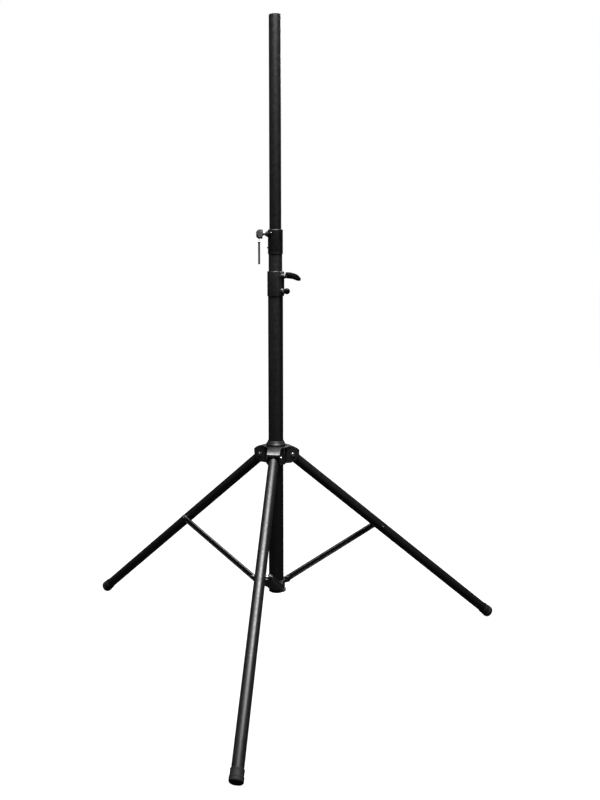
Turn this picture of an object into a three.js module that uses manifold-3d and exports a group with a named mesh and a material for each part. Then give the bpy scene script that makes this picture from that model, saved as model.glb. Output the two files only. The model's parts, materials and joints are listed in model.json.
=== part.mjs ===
// Folding tripod stand for a loudspeaker: a three-stage mast, a sliding hub with three legs,
// and three braces that tie the legs to a fixed lower hub. Millimetres, degrees, +Z up.
// The stand is drawn opened out. Its origin is the middle of its bounding box's base, on the floor.

import * as THREE from "three";
import { mergeVertices } from "three/addons/utils/BufferGeometryUtils.js";
import Module from "manifold-3d";

const wasm = await Module();
wasm.setup();

// ---- driving dimensions ----

// clearances
const GAP = 0.3; // between pieces that touch
const SLIDE_GAP = 0.2; // round a glide in its tube
const SCREW_GAP = 0.4; // round a screw that turns in its hole

// mast tubes, outside diameters and walls
const TOP_TUBE_D = 35;
const TOP_TUBE_WALL = 1.8;
const TOP_TUBE_LENGTH = 925;
const TOP_TUBE_SHOWN = 616;
const MID_TUBE_WALL = 1.8;
const TOP_TUBE_PLAY = 0.7; // between the top tube and the middle tube's bore
const MID_TUBE_D = TOP_TUBE_D + 2 * (TOP_TUBE_PLAY + MID_TUBE_WALL);
const MID_TUBE_LENGTH = 943;
const MID_TUBE_SHOWN = 50;
const MAIN_TUBE_WALL = 1.6;
const MID_TUBE_PLAY = 0.4; // between the middle tube and the main tube's bore
const MAIN_TUBE_D = MID_TUBE_D + 2 * (MID_TUBE_PLAY + MAIN_TUBE_WALL);
const MAIN_TUBE_LENGTH = 949;
const MAIN_TUBE_BELOW_BRACES = 20;

// glides, plugs and the cap
const GLIDE_FLANGE = 8;
const PLUG_FLANGE = 3;
const SPIGOT_LENGTH = 22;
const SPIGOT_BORE_D = 20;

// collars
const COLLAR_WALL = 2;
const COLLAR_EDGE = 1;
const UPPER_COLLAR_D = MID_TUBE_D + 2 * COLLAR_WALL;
const UPPER_COLLAR_HEIGHT = 72;
const LOWER_COLLAR_D = MAIN_TUBE_D + 2 * COLLAR_WALL;
const LOWER_COLLAR_HEIGHT = 73.5;
const COLLAR_LIP = 4;
const UPPER_KNOB_AZIMUTH = 187;
const UPPER_KNOB_BELOW_TOP = 13;
const UPPER_KNOB_REACH = UPPER_COLLAR_D / 2 + 26;
const UPPER_KNOB_TILT = -22;
const BOSS_D = 18;
const BOSS_END_D = 12;
const UPPER_BOSS_LENGTH = 8;
const PAD_WIDTH = 18;
const PAD_PROUD = 3;
const PAD_CORNER = 2;
const LOWER_PAD_AZIMUTH = -33;
const LEVER_BOSS_LENGTH = 11;
const PIN_BOSS_LENGTH = 4;
const LEVER_BELOW_TOP = 15;
const LEVER_REACH = LOWER_COLLAR_D / 2 + 47;
const LEVER_TILT = -20;
const LEVER_STEM_CLEAR = 1.5; // between the lever's stem and the end of its boss
const PULL_PIN_BELOW_LEVER = 43;

// T knob: a curved cross bar on a tapered stem
const BAR_LENGTH = 63;
const BAR_DEPTH = 18;
const BAR_END_DEPTH = 9;
const BAR_THICKNESS = 11;
const BAR_SWEEP = 8;
const BAR_EDGE = 2;
const BAR_TIP_CROWN = 1;
const BAR_TIP_SLANT = 3;
const BAR_FRONT_CONTROL = 0.55; // shares of half the bar's length, for its faces' curves
const BAR_BACK_CONTROL = 0.4;
const STEM_LENGTH = 4;
const STEM_D = 13;
const STEM_NECK_D = 9.6;
const SCREW_D = 8;

// pull pin
const PULL_ROD_D = 6;
const PULL_BARREL_D = 10;
const PULL_HEX = 13;
const PULL_HEX_LENGTH = 5;
const PULL_KNOB_D = 18;
const PULL_KNOB_LENGTH = 12;
const PULL_KNOB_CLEAR = 1.5;
const PULL_KNOB_SHOULDER = 3;
const PULL_KNOB_EDGE = 1;

// safety pin and its wire
const SAFETY_PIN_D = 6;
const SAFETY_PIN_LENGTH = 64;
const SAFETY_PIN_HEAD_D = 7.6;
const SAFETY_PIN_POINT_D = 4.2;
const SAFETY_PIN_POINT = 1.5;
const SAFETY_PIN_HEAD_STEPS = 8;
const WIRE_COLLAR_RADIUS = 22; // the collar that the wire's route is drawn round
const WIRE_D = 1.5;
const RIVET_D = 5;
const RIVET_PROUD = 3.2;
const RIVET_AZIMUTH = 184;
const RIVET_HEIGHT = 19;

// legs
const LEG_COUNT = 3;
const LEG_SLOPE = 39.3; // below horizontal
const LEG_D = 30;
const LEG_WALL = 1.5;
const LEG_LENGTH = 910; // pivot to the end of the foot
const FIRST_LEG_AZIMUTH = 270;
const LEG_PLUG_LENGTH = 34;
const FOOT_D = LEG_D + 5.5;
const FOOT_LENGTH = 30;
const FOOT_ROUND = 7;
const FOOT_WEB = 9;
const FOOT_FLAT = 0.6; // depth of the flat worn on the foot's lowest edge

// hub
const HUB_PIVOT_D = 8;
const HUB_BARREL_D = MAIN_TUBE_D + 14;
const HUB_BARREL_EDGE = 1;
const HUB_PIVOT_RADIUS = HUB_BARREL_D / 2 + LEG_D / 2 + 2;
const HUB_RING_TOP_D = MAIN_TUBE_D + 8.4;
const HUB_ABOVE_PIVOT = 38;
const HUB_BELOW_PIVOT = 27;
const HUB_RING_HEIGHT = 5;
const HUB_GLIDE_WALL = 2;
const HUB_GLIDE_HEAD = 6; // the part of the glide that shows above the hub
const HUB_GLIDE_HEAD_D = MAIN_TUBE_D + 7;
const HUB_GLIDE_LIP = 1;
const CHEEK_THICKNESS = 3.4;
const CHEEK_CLEAR = 0.6;
const CHEEK_ROUND = LEG_D / 2 + 6;
const CHEEK_HEEL = 4;
const CHEEK_END_ANGLE = -8;
const CHEEK_ABOVE_BASE = 3;
const HOOD_WALL = 3.5;
const HOOD_REACH = LEG_D / 2 + 7;
const HOOD_HEIGHT = LEG_D / 2 + 13;
const HOOD_TIP_HEIGHT = LEG_D / 2 - 2;
const HOOD_LIP = 7.5;
const HOOD_CREST = 8;
const HOOD_SAG = 3;
const BOLT_HEAD_SLOPE = 1.2;
const CUT_BEYOND = 5; // how far a cutter runs past the solid it cuts
const BOLT_HEAD_D = 13;
const BOLT_HEAD_LENGTH = 3.5;
const HUB_KNOB_AZIMUTH = 90;
const HUB_BOSS_LENGTH = 9;
const HUB_KNOB_D = 32;
const HUB_KNOB_LOBE_D = 11;
const HUB_KNOB_LOBES = 5;
const HUB_KNOB_THICKNESS = 13;
const HUB_KNOB_REACH = HUB_BARREL_D / 2 + 21;

// braces and the lower hub
const BRACE_JOINT_DISTANCE = 392; // along the leg from its pivot
const LOWER_PIVOT_RADIUS = MAIN_TUBE_D / 2 + 24;
const LOWER_PIVOT_HEIGHT = 198;
const BRACE_WIDTH = 17;
const BRACE_THICKNESS = 8;
const BRACE_EDGE = 1.2;
const BRACE_SCREW_D = 6;
const BRACE_HEAD_D = 11;
const BRACE_HEAD_LENGTH = 3.5;
const BRACE_NUT_LENGTH = 5;
const BRACE_BOLT_TAIL = 4;
const SPACER_D = 10;
const TAB_THICKNESS = 5;
const TAB_CLEAR = 1.5; // between a folded leg and the tab
const LOWER_HUB_D = MAIN_TUBE_D + 8;
const LOWER_HUB_HEIGHT = 27;
const TAB_ROOT_STEP = 2;
const TAB_NECK = 3;

// facets round a full turn
const TUBE_FACETS = 24;
const LEG_FACETS = 20;
const SMALL_FACETS = 12;
const PIN_FACETS = 40;

// ---- derived places ----

const rad = THREE.MathUtils.degToRad;
const slope = rad(LEG_SLOPE);
const hubPivotHeight =
  (LEG_LENGTH - FOOT_ROUND) * Math.sin(slope) +
  (FOOT_D / 2 - FOOT_ROUND) * Math.cos(slope) +
  FOOT_ROUND -
  FOOT_FLAT;
const jointRadius = HUB_PIVOT_RADIUS + BRACE_JOINT_DISTANCE * Math.cos(slope);
const jointHeight = hubPivotHeight - BRACE_JOINT_DISTANCE * Math.sin(slope);
const braceRun = jointRadius - LOWER_PIVOT_RADIUS;
const braceRise = jointHeight - LOWER_PIVOT_HEIGHT;
const braceLength = Math.hypot(braceRun, braceRise);
const braceSlope = Math.atan2(braceRise, braceRun);

const mainBottom = LOWER_PIVOT_HEIGHT - MAIN_TUBE_BELOW_BRACES;
const mainTop = mainBottom + MAIN_TUBE_LENGTH;
const lowerCollarTop = mainTop + GAP + COLLAR_LIP;
const upperCollarBottom = lowerCollarTop + MID_TUBE_SHOWN;
const upperCollarTop = upperCollarBottom + UPPER_COLLAR_HEIGHT;
const midTop = upperCollarTop - COLLAR_LIP - GAP;
const midBottom = midTop - MID_TUBE_LENGTH;
const topTubeTop = upperCollarTop + TOP_TUBE_SHOWN;
const topTubeBottom = topTubeTop - TOP_TUBE_LENGTH;

const upperKnobHeight = upperCollarTop - UPPER_KNOB_BELOW_TOP;
const leverHeight = lowerCollarTop - LEVER_BELOW_TOP;
const pullPinHeight = leverHeight - PULL_PIN_BELOW_LEVER;

const cheekInside = LEG_D / 2 + CHEEK_CLEAR;
const cheekOutside = cheekInside + CHEEK_THICKNESS;
const tabInside = LEG_D / 2 + TAB_CLEAR;
const tabOutside = tabInside + TAB_THICKNESS;
const braceInside = tabOutside + GAP;
const braceOutside = braceInside + BRACE_THICKNESS;
const legRadius = LEG_D / 2;
const mainBore = MAIN_TUBE_D / 2 - MAIN_TUBE_WALL;
const midBore = MID_TUBE_D / 2 - MID_TUBE_WALL;
const topBore = TOP_TUBE_D / 2 - TOP_TUBE_WALL;

// ---- solids ----

// A closed geometry as a manifold solid: only its positions count, and collapsed faces go.
function solidOf(geometry) {
  const bare = new THREE.BufferGeometry();
  const source = geometry.index ? geometry.toNonIndexed() : geometry;
  bare.setAttribute("position", source.getAttribute("position").clone());
  const merged = mergeVertices(bare, 1e-4);
  const corners = [];
  for (let i = 0; i < merged.index.count; i += 3) {
    const [a, b, c] = [0, 1, 2].map((k) => merged.index.getX(i + k));
    if (a !== b && b !== c && c !== a) corners.push(a, b, c);
  }
  return new wasm.Manifold(
    new wasm.Mesh({
      numProp: 3,
      vertProperties: new Float32Array(merged.attributes.position.array),
      triVerts: new Uint32Array(corners),
    }),
  );
}

// A manifold solid as a geometry with flat faces.
function geometryOf(solid) {
  const mesh = solid.getMesh();
  const indexed = new THREE.BufferGeometry();
  indexed.setAttribute("position", new THREE.BufferAttribute(mesh.vertProperties, 3));
  indexed.setIndex(new THREE.BufferAttribute(mesh.triVerts, 1));
  const flat = indexed.toNonIndexed();
  flat.computeVertexNormals();
  return flat;
}

function joined(...geometries) {
  return geometryOf(geometries.map(solidOf).reduce((whole, next) => whole.add(next)));
}

function cut(geometry, ...cutters) {
  return geometryOf(cutters.map(solidOf).reduce((rest, next) => rest.subtract(next), solidOf(geometry)));
}

function common(a, b) {
  return geometryOf(solidOf(a).intersect(solidOf(b)));
}

// A profile of [radius, height] corners turned about Z, listed anticlockwise with the radius to the right.
function turned(profile, facets = TUBE_FACETS) {
  const closed = profile[0][0] === 0 ? profile : [...profile, profile[0]];
  const points = closed.map(([radius, height]) => new THREE.Vector2(radius, height));
  return geometryOf(solidOf(new THREE.LatheGeometry(points, facets).rotateX(Math.PI / 2)));
}

function pipe(outer, inner, low, high, facets) {
  const profile = [[inner, low], [outer, low], [outer, high], [inner, high]];
  return turned(profile, facets);
}

function rod(radius, low, high, facets = SMALL_FACETS) {
  return turned([[0, low], [radius, low], [radius, high], [0, high]], facets);
}

function cone(lowRadius, highRadius, low, high, facets = SMALL_FACETS) {
  return turned([[0, low], [lowRadius, low], [highRadius, high], [0, high]], facets);
}

// Turns a piece drawn along Z so that it lies along X, or along Y.
function alongX(geometry) {
  return geometry.rotateY(Math.PI / 2);
}

function alongY(geometry) {
  return geometry.rotateX(-Math.PI / 2);
}

// A hexagonal prism along Z, across its flats.
function hexagon(acrossFlats, low, high) {
  return rod(acrossFlats / 2 / Math.cos(Math.PI / 6), low, high, 6);
}

// An outline drawn in X and Z, as thick as stated along Y and centred on it.
function plate(shape, thickness, edge = 0) {
  const depth = thickness - 2 * edge;
  const settings = {
    depth,
    curveSegments: 4,
    bevelEnabled: edge > 0,
    bevelThickness: edge,
    bevelSize: edge,
    bevelOffset: -edge,
    bevelSegments: 1,
  };
  const geometry = new THREE.ExtrudeGeometry(shape, settings);
  return geometry.translate(0, 0, -depth / 2).rotateX(Math.PI / 2);
}

// ---- the scene graph ----

const stand = new THREE.Group();

const finishes = {
  black_coat: { color: 0x161617, roughness: 0.55, metalness: 0.2 },
  black_cast: { color: 0x1b1b1c, roughness: 0.5, metalness: 0.3 },
  black_plastic: { color: 0x121213, roughness: 0.6, metalness: 0 },
  rubber: { color: 0x0f0f0f, roughness: 0.85, metalness: 0 },
  nylon: { color: 0x2a2a2b, roughness: 0.6, metalness: 0 },
  zinc: { color: 0xb9bbbd, roughness: 0.35, metalness: 0.9 },
};

function add(parent, name, geometry, finish) {
  const mesh = new THREE.Mesh(geometry, new THREE.MeshStandardMaterial(finishes[finish]));
  mesh.name = name;
  parent.add(mesh);
  return mesh;
}

// A group on the mast's axis whose X axis points out at an azimuth, at a height.
function station(azimuth, height) {
  const group = new THREE.Group();
  group.rotation.z = rad(azimuth);
  group.position.z = height;
  stand.add(group);
  return group;
}

// A cutter or boss drawn along X from the mast's axis, turned to its azimuth and height.
function atStation(geometry, azimuth, height) {
  return geometry.rotateZ(rad(azimuth)).translate(0, 0, height);
}

// ---- mast ----

// A flange under a tube's end and a spigot up its bore, both hollow.
function glide(flangeRadius, spigotRadius, tubeEnd) {
  const flangeTop = tubeEnd - GAP;
  const bore = SPIGOT_BORE_D / 2;
  const low = flangeTop - GLIDE_FLANGE;
  return turned([
    [bore, low],
    [flangeRadius, low],
    [flangeRadius, flangeTop],
    [spigotRadius, flangeTop],
    [spigotRadius, flangeTop + SPIGOT_LENGTH],
    [bore, flangeTop + SPIGOT_LENGTH],
  ]);
}

function topTube() {
  add(stand, "top_tube", pipe(TOP_TUBE_D / 2, topBore, topTubeBottom, topTubeTop), "black_coat");
  add(stand, "top_tube_glide", glide(midBore - SLIDE_GAP, topBore - GAP, topTubeBottom), "nylon");
  const face = topTubeTop + GAP;
  const edge = PLUG_FLANGE / 3;
  const outer = TOP_TUBE_D / 2;
  const cap = turned([
    [0, face - SPIGOT_LENGTH],
    [topBore - GAP, face - SPIGOT_LENGTH],
    [topBore - GAP, face],
    [outer, face],
    [outer, face + PLUG_FLANGE - edge],
    [outer - edge, face + PLUG_FLANGE],
    [0, face + PLUG_FLANGE],
  ]);
  add(stand, "top_cap", cap, "black_plastic");
}

function middleTube() {
  const whole = pipe(MID_TUBE_D / 2, midBore, midBottom, midTop);
  const hole = alongX(rod(SCREW_D / 2 + SCREW_GAP, topBore, MID_TUBE_D));
  const tube = cut(whole, atStation(hole, UPPER_KNOB_AZIMUTH, upperKnobHeight));
  add(stand, "middle_tube", tube, "black_coat");
  add(stand, "middle_tube_glide", glide(mainBore - SLIDE_GAP, midBore - GAP, midBottom), "nylon");
}

function mainTube() {
  const whole = pipe(MAIN_TUBE_D / 2, mainBore, mainBottom, mainTop);
  const leverHole = alongX(rod(SCREW_D / 2 + SCREW_GAP, mainBore / 2, MAIN_TUBE_D));
  const pinHole = alongX(rod(PULL_BARREL_D / 2 + GAP, mainBore / 2, MAIN_TUBE_D));
  const tube = cut(
    whole,
    atStation(leverHole, LOWER_PAD_AZIMUTH, leverHeight),
    atStation(pinHole, LOWER_PAD_AZIMUTH, pullPinHeight),
  );
  add(stand, "main_tube", tube, "black_coat");
  const face = mainBottom - GAP;
  const outer = MAIN_TUBE_D / 2;
  const edge = PLUG_FLANGE / 2;
  const plug = turned([
    [0, face - PLUG_FLANGE],
    [outer - edge, face - PLUG_FLANGE],
    [outer, face - PLUG_FLANGE + edge],
    [outer, face],
    [mainBore - GAP, face],
    [mainBore - GAP, face + SPIGOT_LENGTH],
    [0, face + SPIGOT_LENGTH],
  ]);
  add(stand, "main_tube_plug", plug, "black_plastic");
}

// The space that a collar leaves for the tube it sits on and the thinner tube that leaves it.
function collarBore(tubeRadius, innerTubeRadius, bottom, top) {
  const shelf = top - COLLAR_LIP;
  return turned([
    [0, bottom - 1],
    [tubeRadius + GAP, bottom - 1],
    [tubeRadius + GAP, shelf],
    [innerTubeRadius + SCREW_GAP, shelf],
    [innerTubeRadius + SCREW_GAP, top + 1],
    [0, top + 1],
  ]);
}

function sleeve(radius, bottom, top) {
  return turned([
    [0, bottom],
    [radius - COLLAR_EDGE, bottom],
    [radius, bottom + COLLAR_EDGE],
    [radius, top - COLLAR_EDGE],
    [radius - COLLAR_EDGE, top],
    [0, top],
  ]);
}

function upperCollar() {
  const face = UPPER_COLLAR_D / 2;
  const boss = alongX(cone(BOSS_D / 2, BOSS_END_D / 2, MID_TUBE_D / 2, face + UPPER_BOSS_LENGTH));
  const screwHole = alongX(rod(SCREW_D / 2 + SCREW_GAP, topBore, UPPER_COLLAR_D));
  const rivetHole = alongX(rod(RIVET_D / 4 + GAP, topBore, UPPER_COLLAR_D));
  const collar = cut(
    joined(
      sleeve(face, upperCollarBottom, upperCollarTop),
      atStation(boss, UPPER_KNOB_AZIMUTH, upperKnobHeight),
    ),
    collarBore(MID_TUBE_D / 2, TOP_TUBE_D / 2, upperCollarBottom, upperCollarTop),
    atStation(screwHole, UPPER_KNOB_AZIMUTH, upperKnobHeight),
    atStation(rivetHole, RIVET_AZIMUTH, upperCollarBottom + RIVET_HEIGHT),
  );
  add(stand, "upper_collar", collar, "black_cast");

  const shankEnd = MID_TUBE_D / 2 + 2 * GAP;
  const rivet = alongX(
    turned(
      [
        [0, shankEnd],
        [RIVET_D / 4, shankEnd],
        [RIVET_D / 4, face + GAP],
        [RIVET_D / 2, face + GAP],
        [RIVET_D / 2, face + RIVET_PROUD / 2],
        [RIVET_D / 4, face + RIVET_PROUD],
        [0, face + RIVET_PROUD],
      ],
      SMALL_FACETS / 2,
    ),
  );
  add(station(RIVET_AZIMUTH, upperCollarBottom + RIVET_HEIGHT), "collar_rivet", rivet, "zinc");
}

function lowerCollar() {
  const radius = LOWER_COLLAR_D / 2;
  const bottom = lowerCollarTop - LOWER_COLLAR_HEIGHT;
  const face = radius + PAD_PROUD;
  const outline = new THREE.Shape();
  outline.moveTo(MID_TUBE_D / 2, -PAD_WIDTH / 2);
  outline.lineTo(face - PAD_CORNER, -PAD_WIDTH / 2);
  outline.lineTo(face, PAD_CORNER - PAD_WIDTH / 2);
  outline.lineTo(face, PAD_WIDTH / 2 - PAD_CORNER);
  outline.lineTo(face - PAD_CORNER, PAD_WIDTH / 2);
  outline.lineTo(MID_TUBE_D / 2, PAD_WIDTH / 2);
  outline.closePath();
  const padHeight = LOWER_COLLAR_HEIGHT - 2 * PAD_CORNER;
  const pad = new THREE.ExtrudeGeometry(outline, { depth: padHeight, bevelEnabled: false });
  const from = MAIN_TUBE_D / 2;
  const leverBoss = alongX(cone(BOSS_D / 2, BOSS_END_D / 2, from, face + LEVER_BOSS_LENGTH));
  const pinBoss = alongX(cone(BOSS_D / 2, BOSS_END_D / 2 + 1, from, face + PIN_BOSS_LENGTH));
  const leverHole = alongX(rod(SCREW_D / 2 + SCREW_GAP, mainBore / 2, LOWER_COLLAR_D));
  const pinHole = alongX(rod(PULL_BARREL_D / 2 + GAP, mainBore / 2, LOWER_COLLAR_D));
  const collar = cut(
    joined(
      sleeve(radius, bottom, lowerCollarTop),
      atStation(pad, LOWER_PAD_AZIMUTH, bottom + PAD_CORNER),
      atStation(leverBoss, LOWER_PAD_AZIMUTH, leverHeight),
      atStation(pinBoss, LOWER_PAD_AZIMUTH, pullPinHeight),
    ),
    collarBore(MAIN_TUBE_D / 2, MID_TUBE_D / 2, bottom, lowerCollarTop),
    atStation(leverHole, LOWER_PAD_AZIMUTH, leverHeight),
    atStation(pinHole, LOWER_PAD_AZIMUTH, pullPinHeight),
  );
  add(stand, "lower_collar", collar, "black_cast");
}

// ---- knobs and pins ----

// A T knob along X: the cross bar's middle is reach from the mast's axis, its stem starts at
// stemStart and its screw ends at tip.
function tKnob(name, group, reach, stemStart, tip, tilt) {
  const half = BAR_LENGTH / 2;
  const front = BAR_DEPTH / 2;
  const tipFront = BAR_END_DEPTH / 2 - BAR_SWEEP;
  const tipBack = -BAR_END_DEPTH / 2 - BAR_SWEEP;
  const outline = new THREE.Shape();
  outline.moveTo(front, 0);
  const crown = half + BAR_TIP_CROWN;
  const outer = half - BAR_TIP_CROWN;
  const inner = half - BAR_TIP_SLANT;
  outline.quadraticCurveTo(front, half * BAR_FRONT_CONTROL, tipFront, outer);
  outline.quadraticCurveTo(-BAR_SWEEP, crown, tipBack, inner);
  outline.quadraticCurveTo(-front, half * BAR_BACK_CONTROL, -front, STEM_D / 2);
  outline.lineTo(-front, -STEM_D / 2);
  outline.quadraticCurveTo(-front, -half * BAR_BACK_CONTROL, tipBack, -inner);
  outline.quadraticCurveTo(-BAR_SWEEP, -crown, tipFront, -outer);
  outline.quadraticCurveTo(front, -half * BAR_FRONT_CONTROL, front, 0);
  const bar = plate(outline, BAR_THICKNESS, BAR_EDGE).rotateX(Math.PI / 2);
  const stemBack = stemStart - reach;
  const stem = alongX(cone(STEM_NECK_D / 2, STEM_D / 2, stemBack, 1 - front));
  const socket = alongX(rod(SCREW_D / 2 + GAP, stemBack - 1, -front));
  const handle = cut(joined(bar, stem), socket).rotateX(rad(tilt)).translate(reach, 0, 0);
  add(group, name + "_handle", handle, "black_plastic");
  const screw = alongX(rod(SCREW_D / 2, tip, reach - front - GAP));
  add(group, name + "_screw", screw, "zinc");
}

function upperKnob() {
  const group = station(UPPER_KNOB_AZIMUTH, upperKnobHeight);
  const stemStart = UPPER_KNOB_REACH - BAR_DEPTH / 2 - STEM_LENGTH;
  tKnob("upper_knob", group, UPPER_KNOB_REACH, stemStart, TOP_TUBE_D / 2 + SCREW_GAP, UPPER_KNOB_TILT);
}

function lowerLever() {
  const group = station(LOWER_PAD_AZIMUTH, leverHeight);
  const stemStart = LOWER_COLLAR_D / 2 + PAD_PROUD + LEVER_BOSS_LENGTH + LEVER_STEM_CLEAR;
  tKnob("lower_lever", group, LEVER_REACH, stemStart, MID_TUBE_D / 2 + SCREW_GAP, LEVER_TILT);
}

function pullPin() {
  const group = station(LOWER_PAD_AZIMUTH, pullPinHeight);
  const bossEnd = LOWER_COLLAR_D / 2 + PAD_PROUD + PIN_BOSS_LENGTH;
  const hexEnd = bossEnd + GAP + PULL_HEX_LENGTH;
  const tip = MID_TUBE_D / 2 + SCREW_GAP;
  const barrel = cut(
    joined(
      rod(PULL_BARREL_D / 2, tip + 1, bossEnd + GAP + 1),
      hexagon(PULL_HEX, bossEnd + GAP, hexEnd),
    ),
    rod(PULL_ROD_D / 2 + GAP, tip, hexEnd + 1),
  );
  add(group, "pull_pin_barrel", alongX(barrel), "zinc");
  const knobStart = hexEnd + PULL_KNOB_CLEAR;
  const knobEnd = knobStart + PULL_KNOB_LENGTH;
  add(group, "pull_pin_rod", alongX(rod(PULL_ROD_D / 2, tip, knobStart + PULL_KNOB_LENGTH / 2)), "zinc");
  const crown = PULL_KNOB_D / 2;
  const socket = PULL_ROD_D / 2 + GAP;
  const socketEnd = knobStart + PULL_KNOB_LENGTH / 2 + GAP;
  const knob = turned(
    [
      [socket, knobStart],
      [crown - PULL_KNOB_SHOULDER, knobStart],
      [crown - PULL_KNOB_EDGE, knobStart + PULL_KNOB_SHOULDER / 2],
      [crown, knobStart + PULL_KNOB_LENGTH / 2],
      [crown - PULL_KNOB_EDGE, knobEnd - PULL_KNOB_SHOULDER],
      [crown - PULL_KNOB_SHOULDER, knobEnd - PULL_KNOB_EDGE],
      [0, knobEnd],
      [0, socketEnd],
      [socket, socketEnd],
    ],
    SMALL_FACETS,
  );
  add(group, "pull_pin_knob", alongX(knob), "black_plastic");
}

// The wire's route, chosen by hand: off its eyelet on the collar, round the outside of the knob's
// sweep, and down to the pin. Each point is [out from the mast, to the knob's left, up] from the
// knob's axis, seen from the mast.
const wireRoute = [
  [14.3, 20.5, 3.0],
  [16.5, 23.5, 3.6],
  [19.4, 26.9, 4.3],
  [23.1, 30.3, 4.8],
  [27.5, 33.3, 4.7],
  [32.2, 35.5, 3.1],
  [36.6, 36.8, 0.2],
  [40.4, 37.4, -3.8],
  [43.4, 37.6, -8.2],
  [45.5, 37.6, -12.6],
  [46.7, 37.6, -16.8],
  [47.0, 37.6, -20.0],
];

function safetyPin() {
  const knobStation = station(UPPER_KNOB_AZIMUTH, upperKnobHeight);
  const [eyeletOut, eyeletLeft] = wireRoute[0];
  const outwards = new THREE.Vector3(eyeletOut, eyeletLeft, 0).normalize();
  outwards.multiplyScalar(UPPER_COLLAR_D / 2 - WIRE_COLLAR_RADIUS);
  const points = wireRoute.map((point) => new THREE.Vector3(...point).add(outwards));
  const route = new THREE.CatmullRomCurve3(points);
  const section = new THREE.Shape();
  section.absarc(0, 0, WIRE_D / 2, 0, 2 * Math.PI);
  const settings = { steps: 16, curveSegments: 4, bevelEnabled: false, extrudePath: route };
  const wire = new THREE.ExtrudeGeometry(section, settings);
  add(knobStation, "pin_wire", geometryOf(solidOf(wire)), "zinc");

  const start = points[0];
  const face = UPPER_COLLAR_D / 2;
  const out = Math.hypot(start.x, start.y) - GAP;
  const eyelet = alongX(cone(RIVET_D / 2, RIVET_D / 3, face + GAP, out, SMALL_FACETS));
  eyelet.rotateZ(Math.atan2(start.y, start.x)).translate(0, 0, start.z);
  add(knobStation, "wire_eyelet", eyelet, "zinc");

  const group = new THREE.Group();
  group.position.copy(points.at(-1));
  group.position.z -= GAP + SAFETY_PIN_HEAD_D / 2;
  knobStation.add(group);
  const head = SAFETY_PIN_HEAD_D / 2;
  const shank = SAFETY_PIN_D / 2;
  const profile = [
    [0, -SAFETY_PIN_LENGTH],
    [SAFETY_PIN_POINT_D / 2, -SAFETY_PIN_LENGTH],
    [shank, -SAFETY_PIN_LENGTH + SAFETY_PIN_POINT],
  ];
  const neck = Math.acos(shank / head);
  for (let i = 0; i < SAFETY_PIN_HEAD_STEPS; i++) {
    const turn = -neck + ((Math.PI / 2 + neck) * i) / SAFETY_PIN_HEAD_STEPS;
    profile.push([head * Math.cos(turn), head * Math.sin(turn)]);
  }
  profile.push([0, head]);
  const pin = turned(profile, PIN_FACETS);
  add(group, "safety_pin", pin, "zinc");
}

// ---- hub ----

// The clevis outline in the leg's plane, from its pivot: cheek and hood together, or the hood alone.
function clevisOutline(inner) {
  const outline = new THREE.Shape();
  outline.moveTo(inner, -HUB_BELOW_PIVOT + CHEEK_ABOVE_BASE);
  outline.lineTo(-CHEEK_HEEL, -HUB_BELOW_PIVOT + CHEEK_ABOVE_BASE);
  outline.absarc(0, 0, CHEEK_ROUND, rad(-90), rad(CHEEK_END_ANGLE), false);
  outline.lineTo(HOOD_REACH, HOOD_TIP_HEIGHT - HOOD_LIP);
  outline.lineTo(HOOD_REACH, HOOD_TIP_HEIGHT);
  const crest = inner + HOOD_CREST;
  outline.quadraticCurveTo(HOOD_REACH / 2, HOOD_HEIGHT - HOOD_SAG, crest, HOOD_HEIGHT);
  outline.lineTo(inner, HOOD_HEIGHT);
  outline.closePath();
  return outline;
}

// The space under the hood and between the cheeks, where the leg's end lies and turns.
function clevisSpace(inner) {
  const below = -HUB_BELOW_PIVOT - CUT_BEYOND;
  const lip = HOOD_TIP_HEIGHT - HOOD_LIP;
  const front = HOOD_REACH - HOOD_WALL;
  const roof = HOOD_HEIGHT - HOOD_WALL;
  const outline = new THREE.Shape();
  outline.moveTo(inner, below);
  outline.lineTo(HOOD_REACH + CUT_BEYOND, below);
  outline.lineTo(HOOD_REACH + CUT_BEYOND, lip);
  outline.lineTo(front, lip);
  outline.lineTo(front, HOOD_TIP_HEIGHT - 1);
  outline.quadraticCurveTo(HOOD_REACH / 2, roof - HOOD_SAG, inner + HOOD_CREST, roof);
  outline.lineTo(inner, roof);
  outline.closePath();
  return outline;
}

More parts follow.
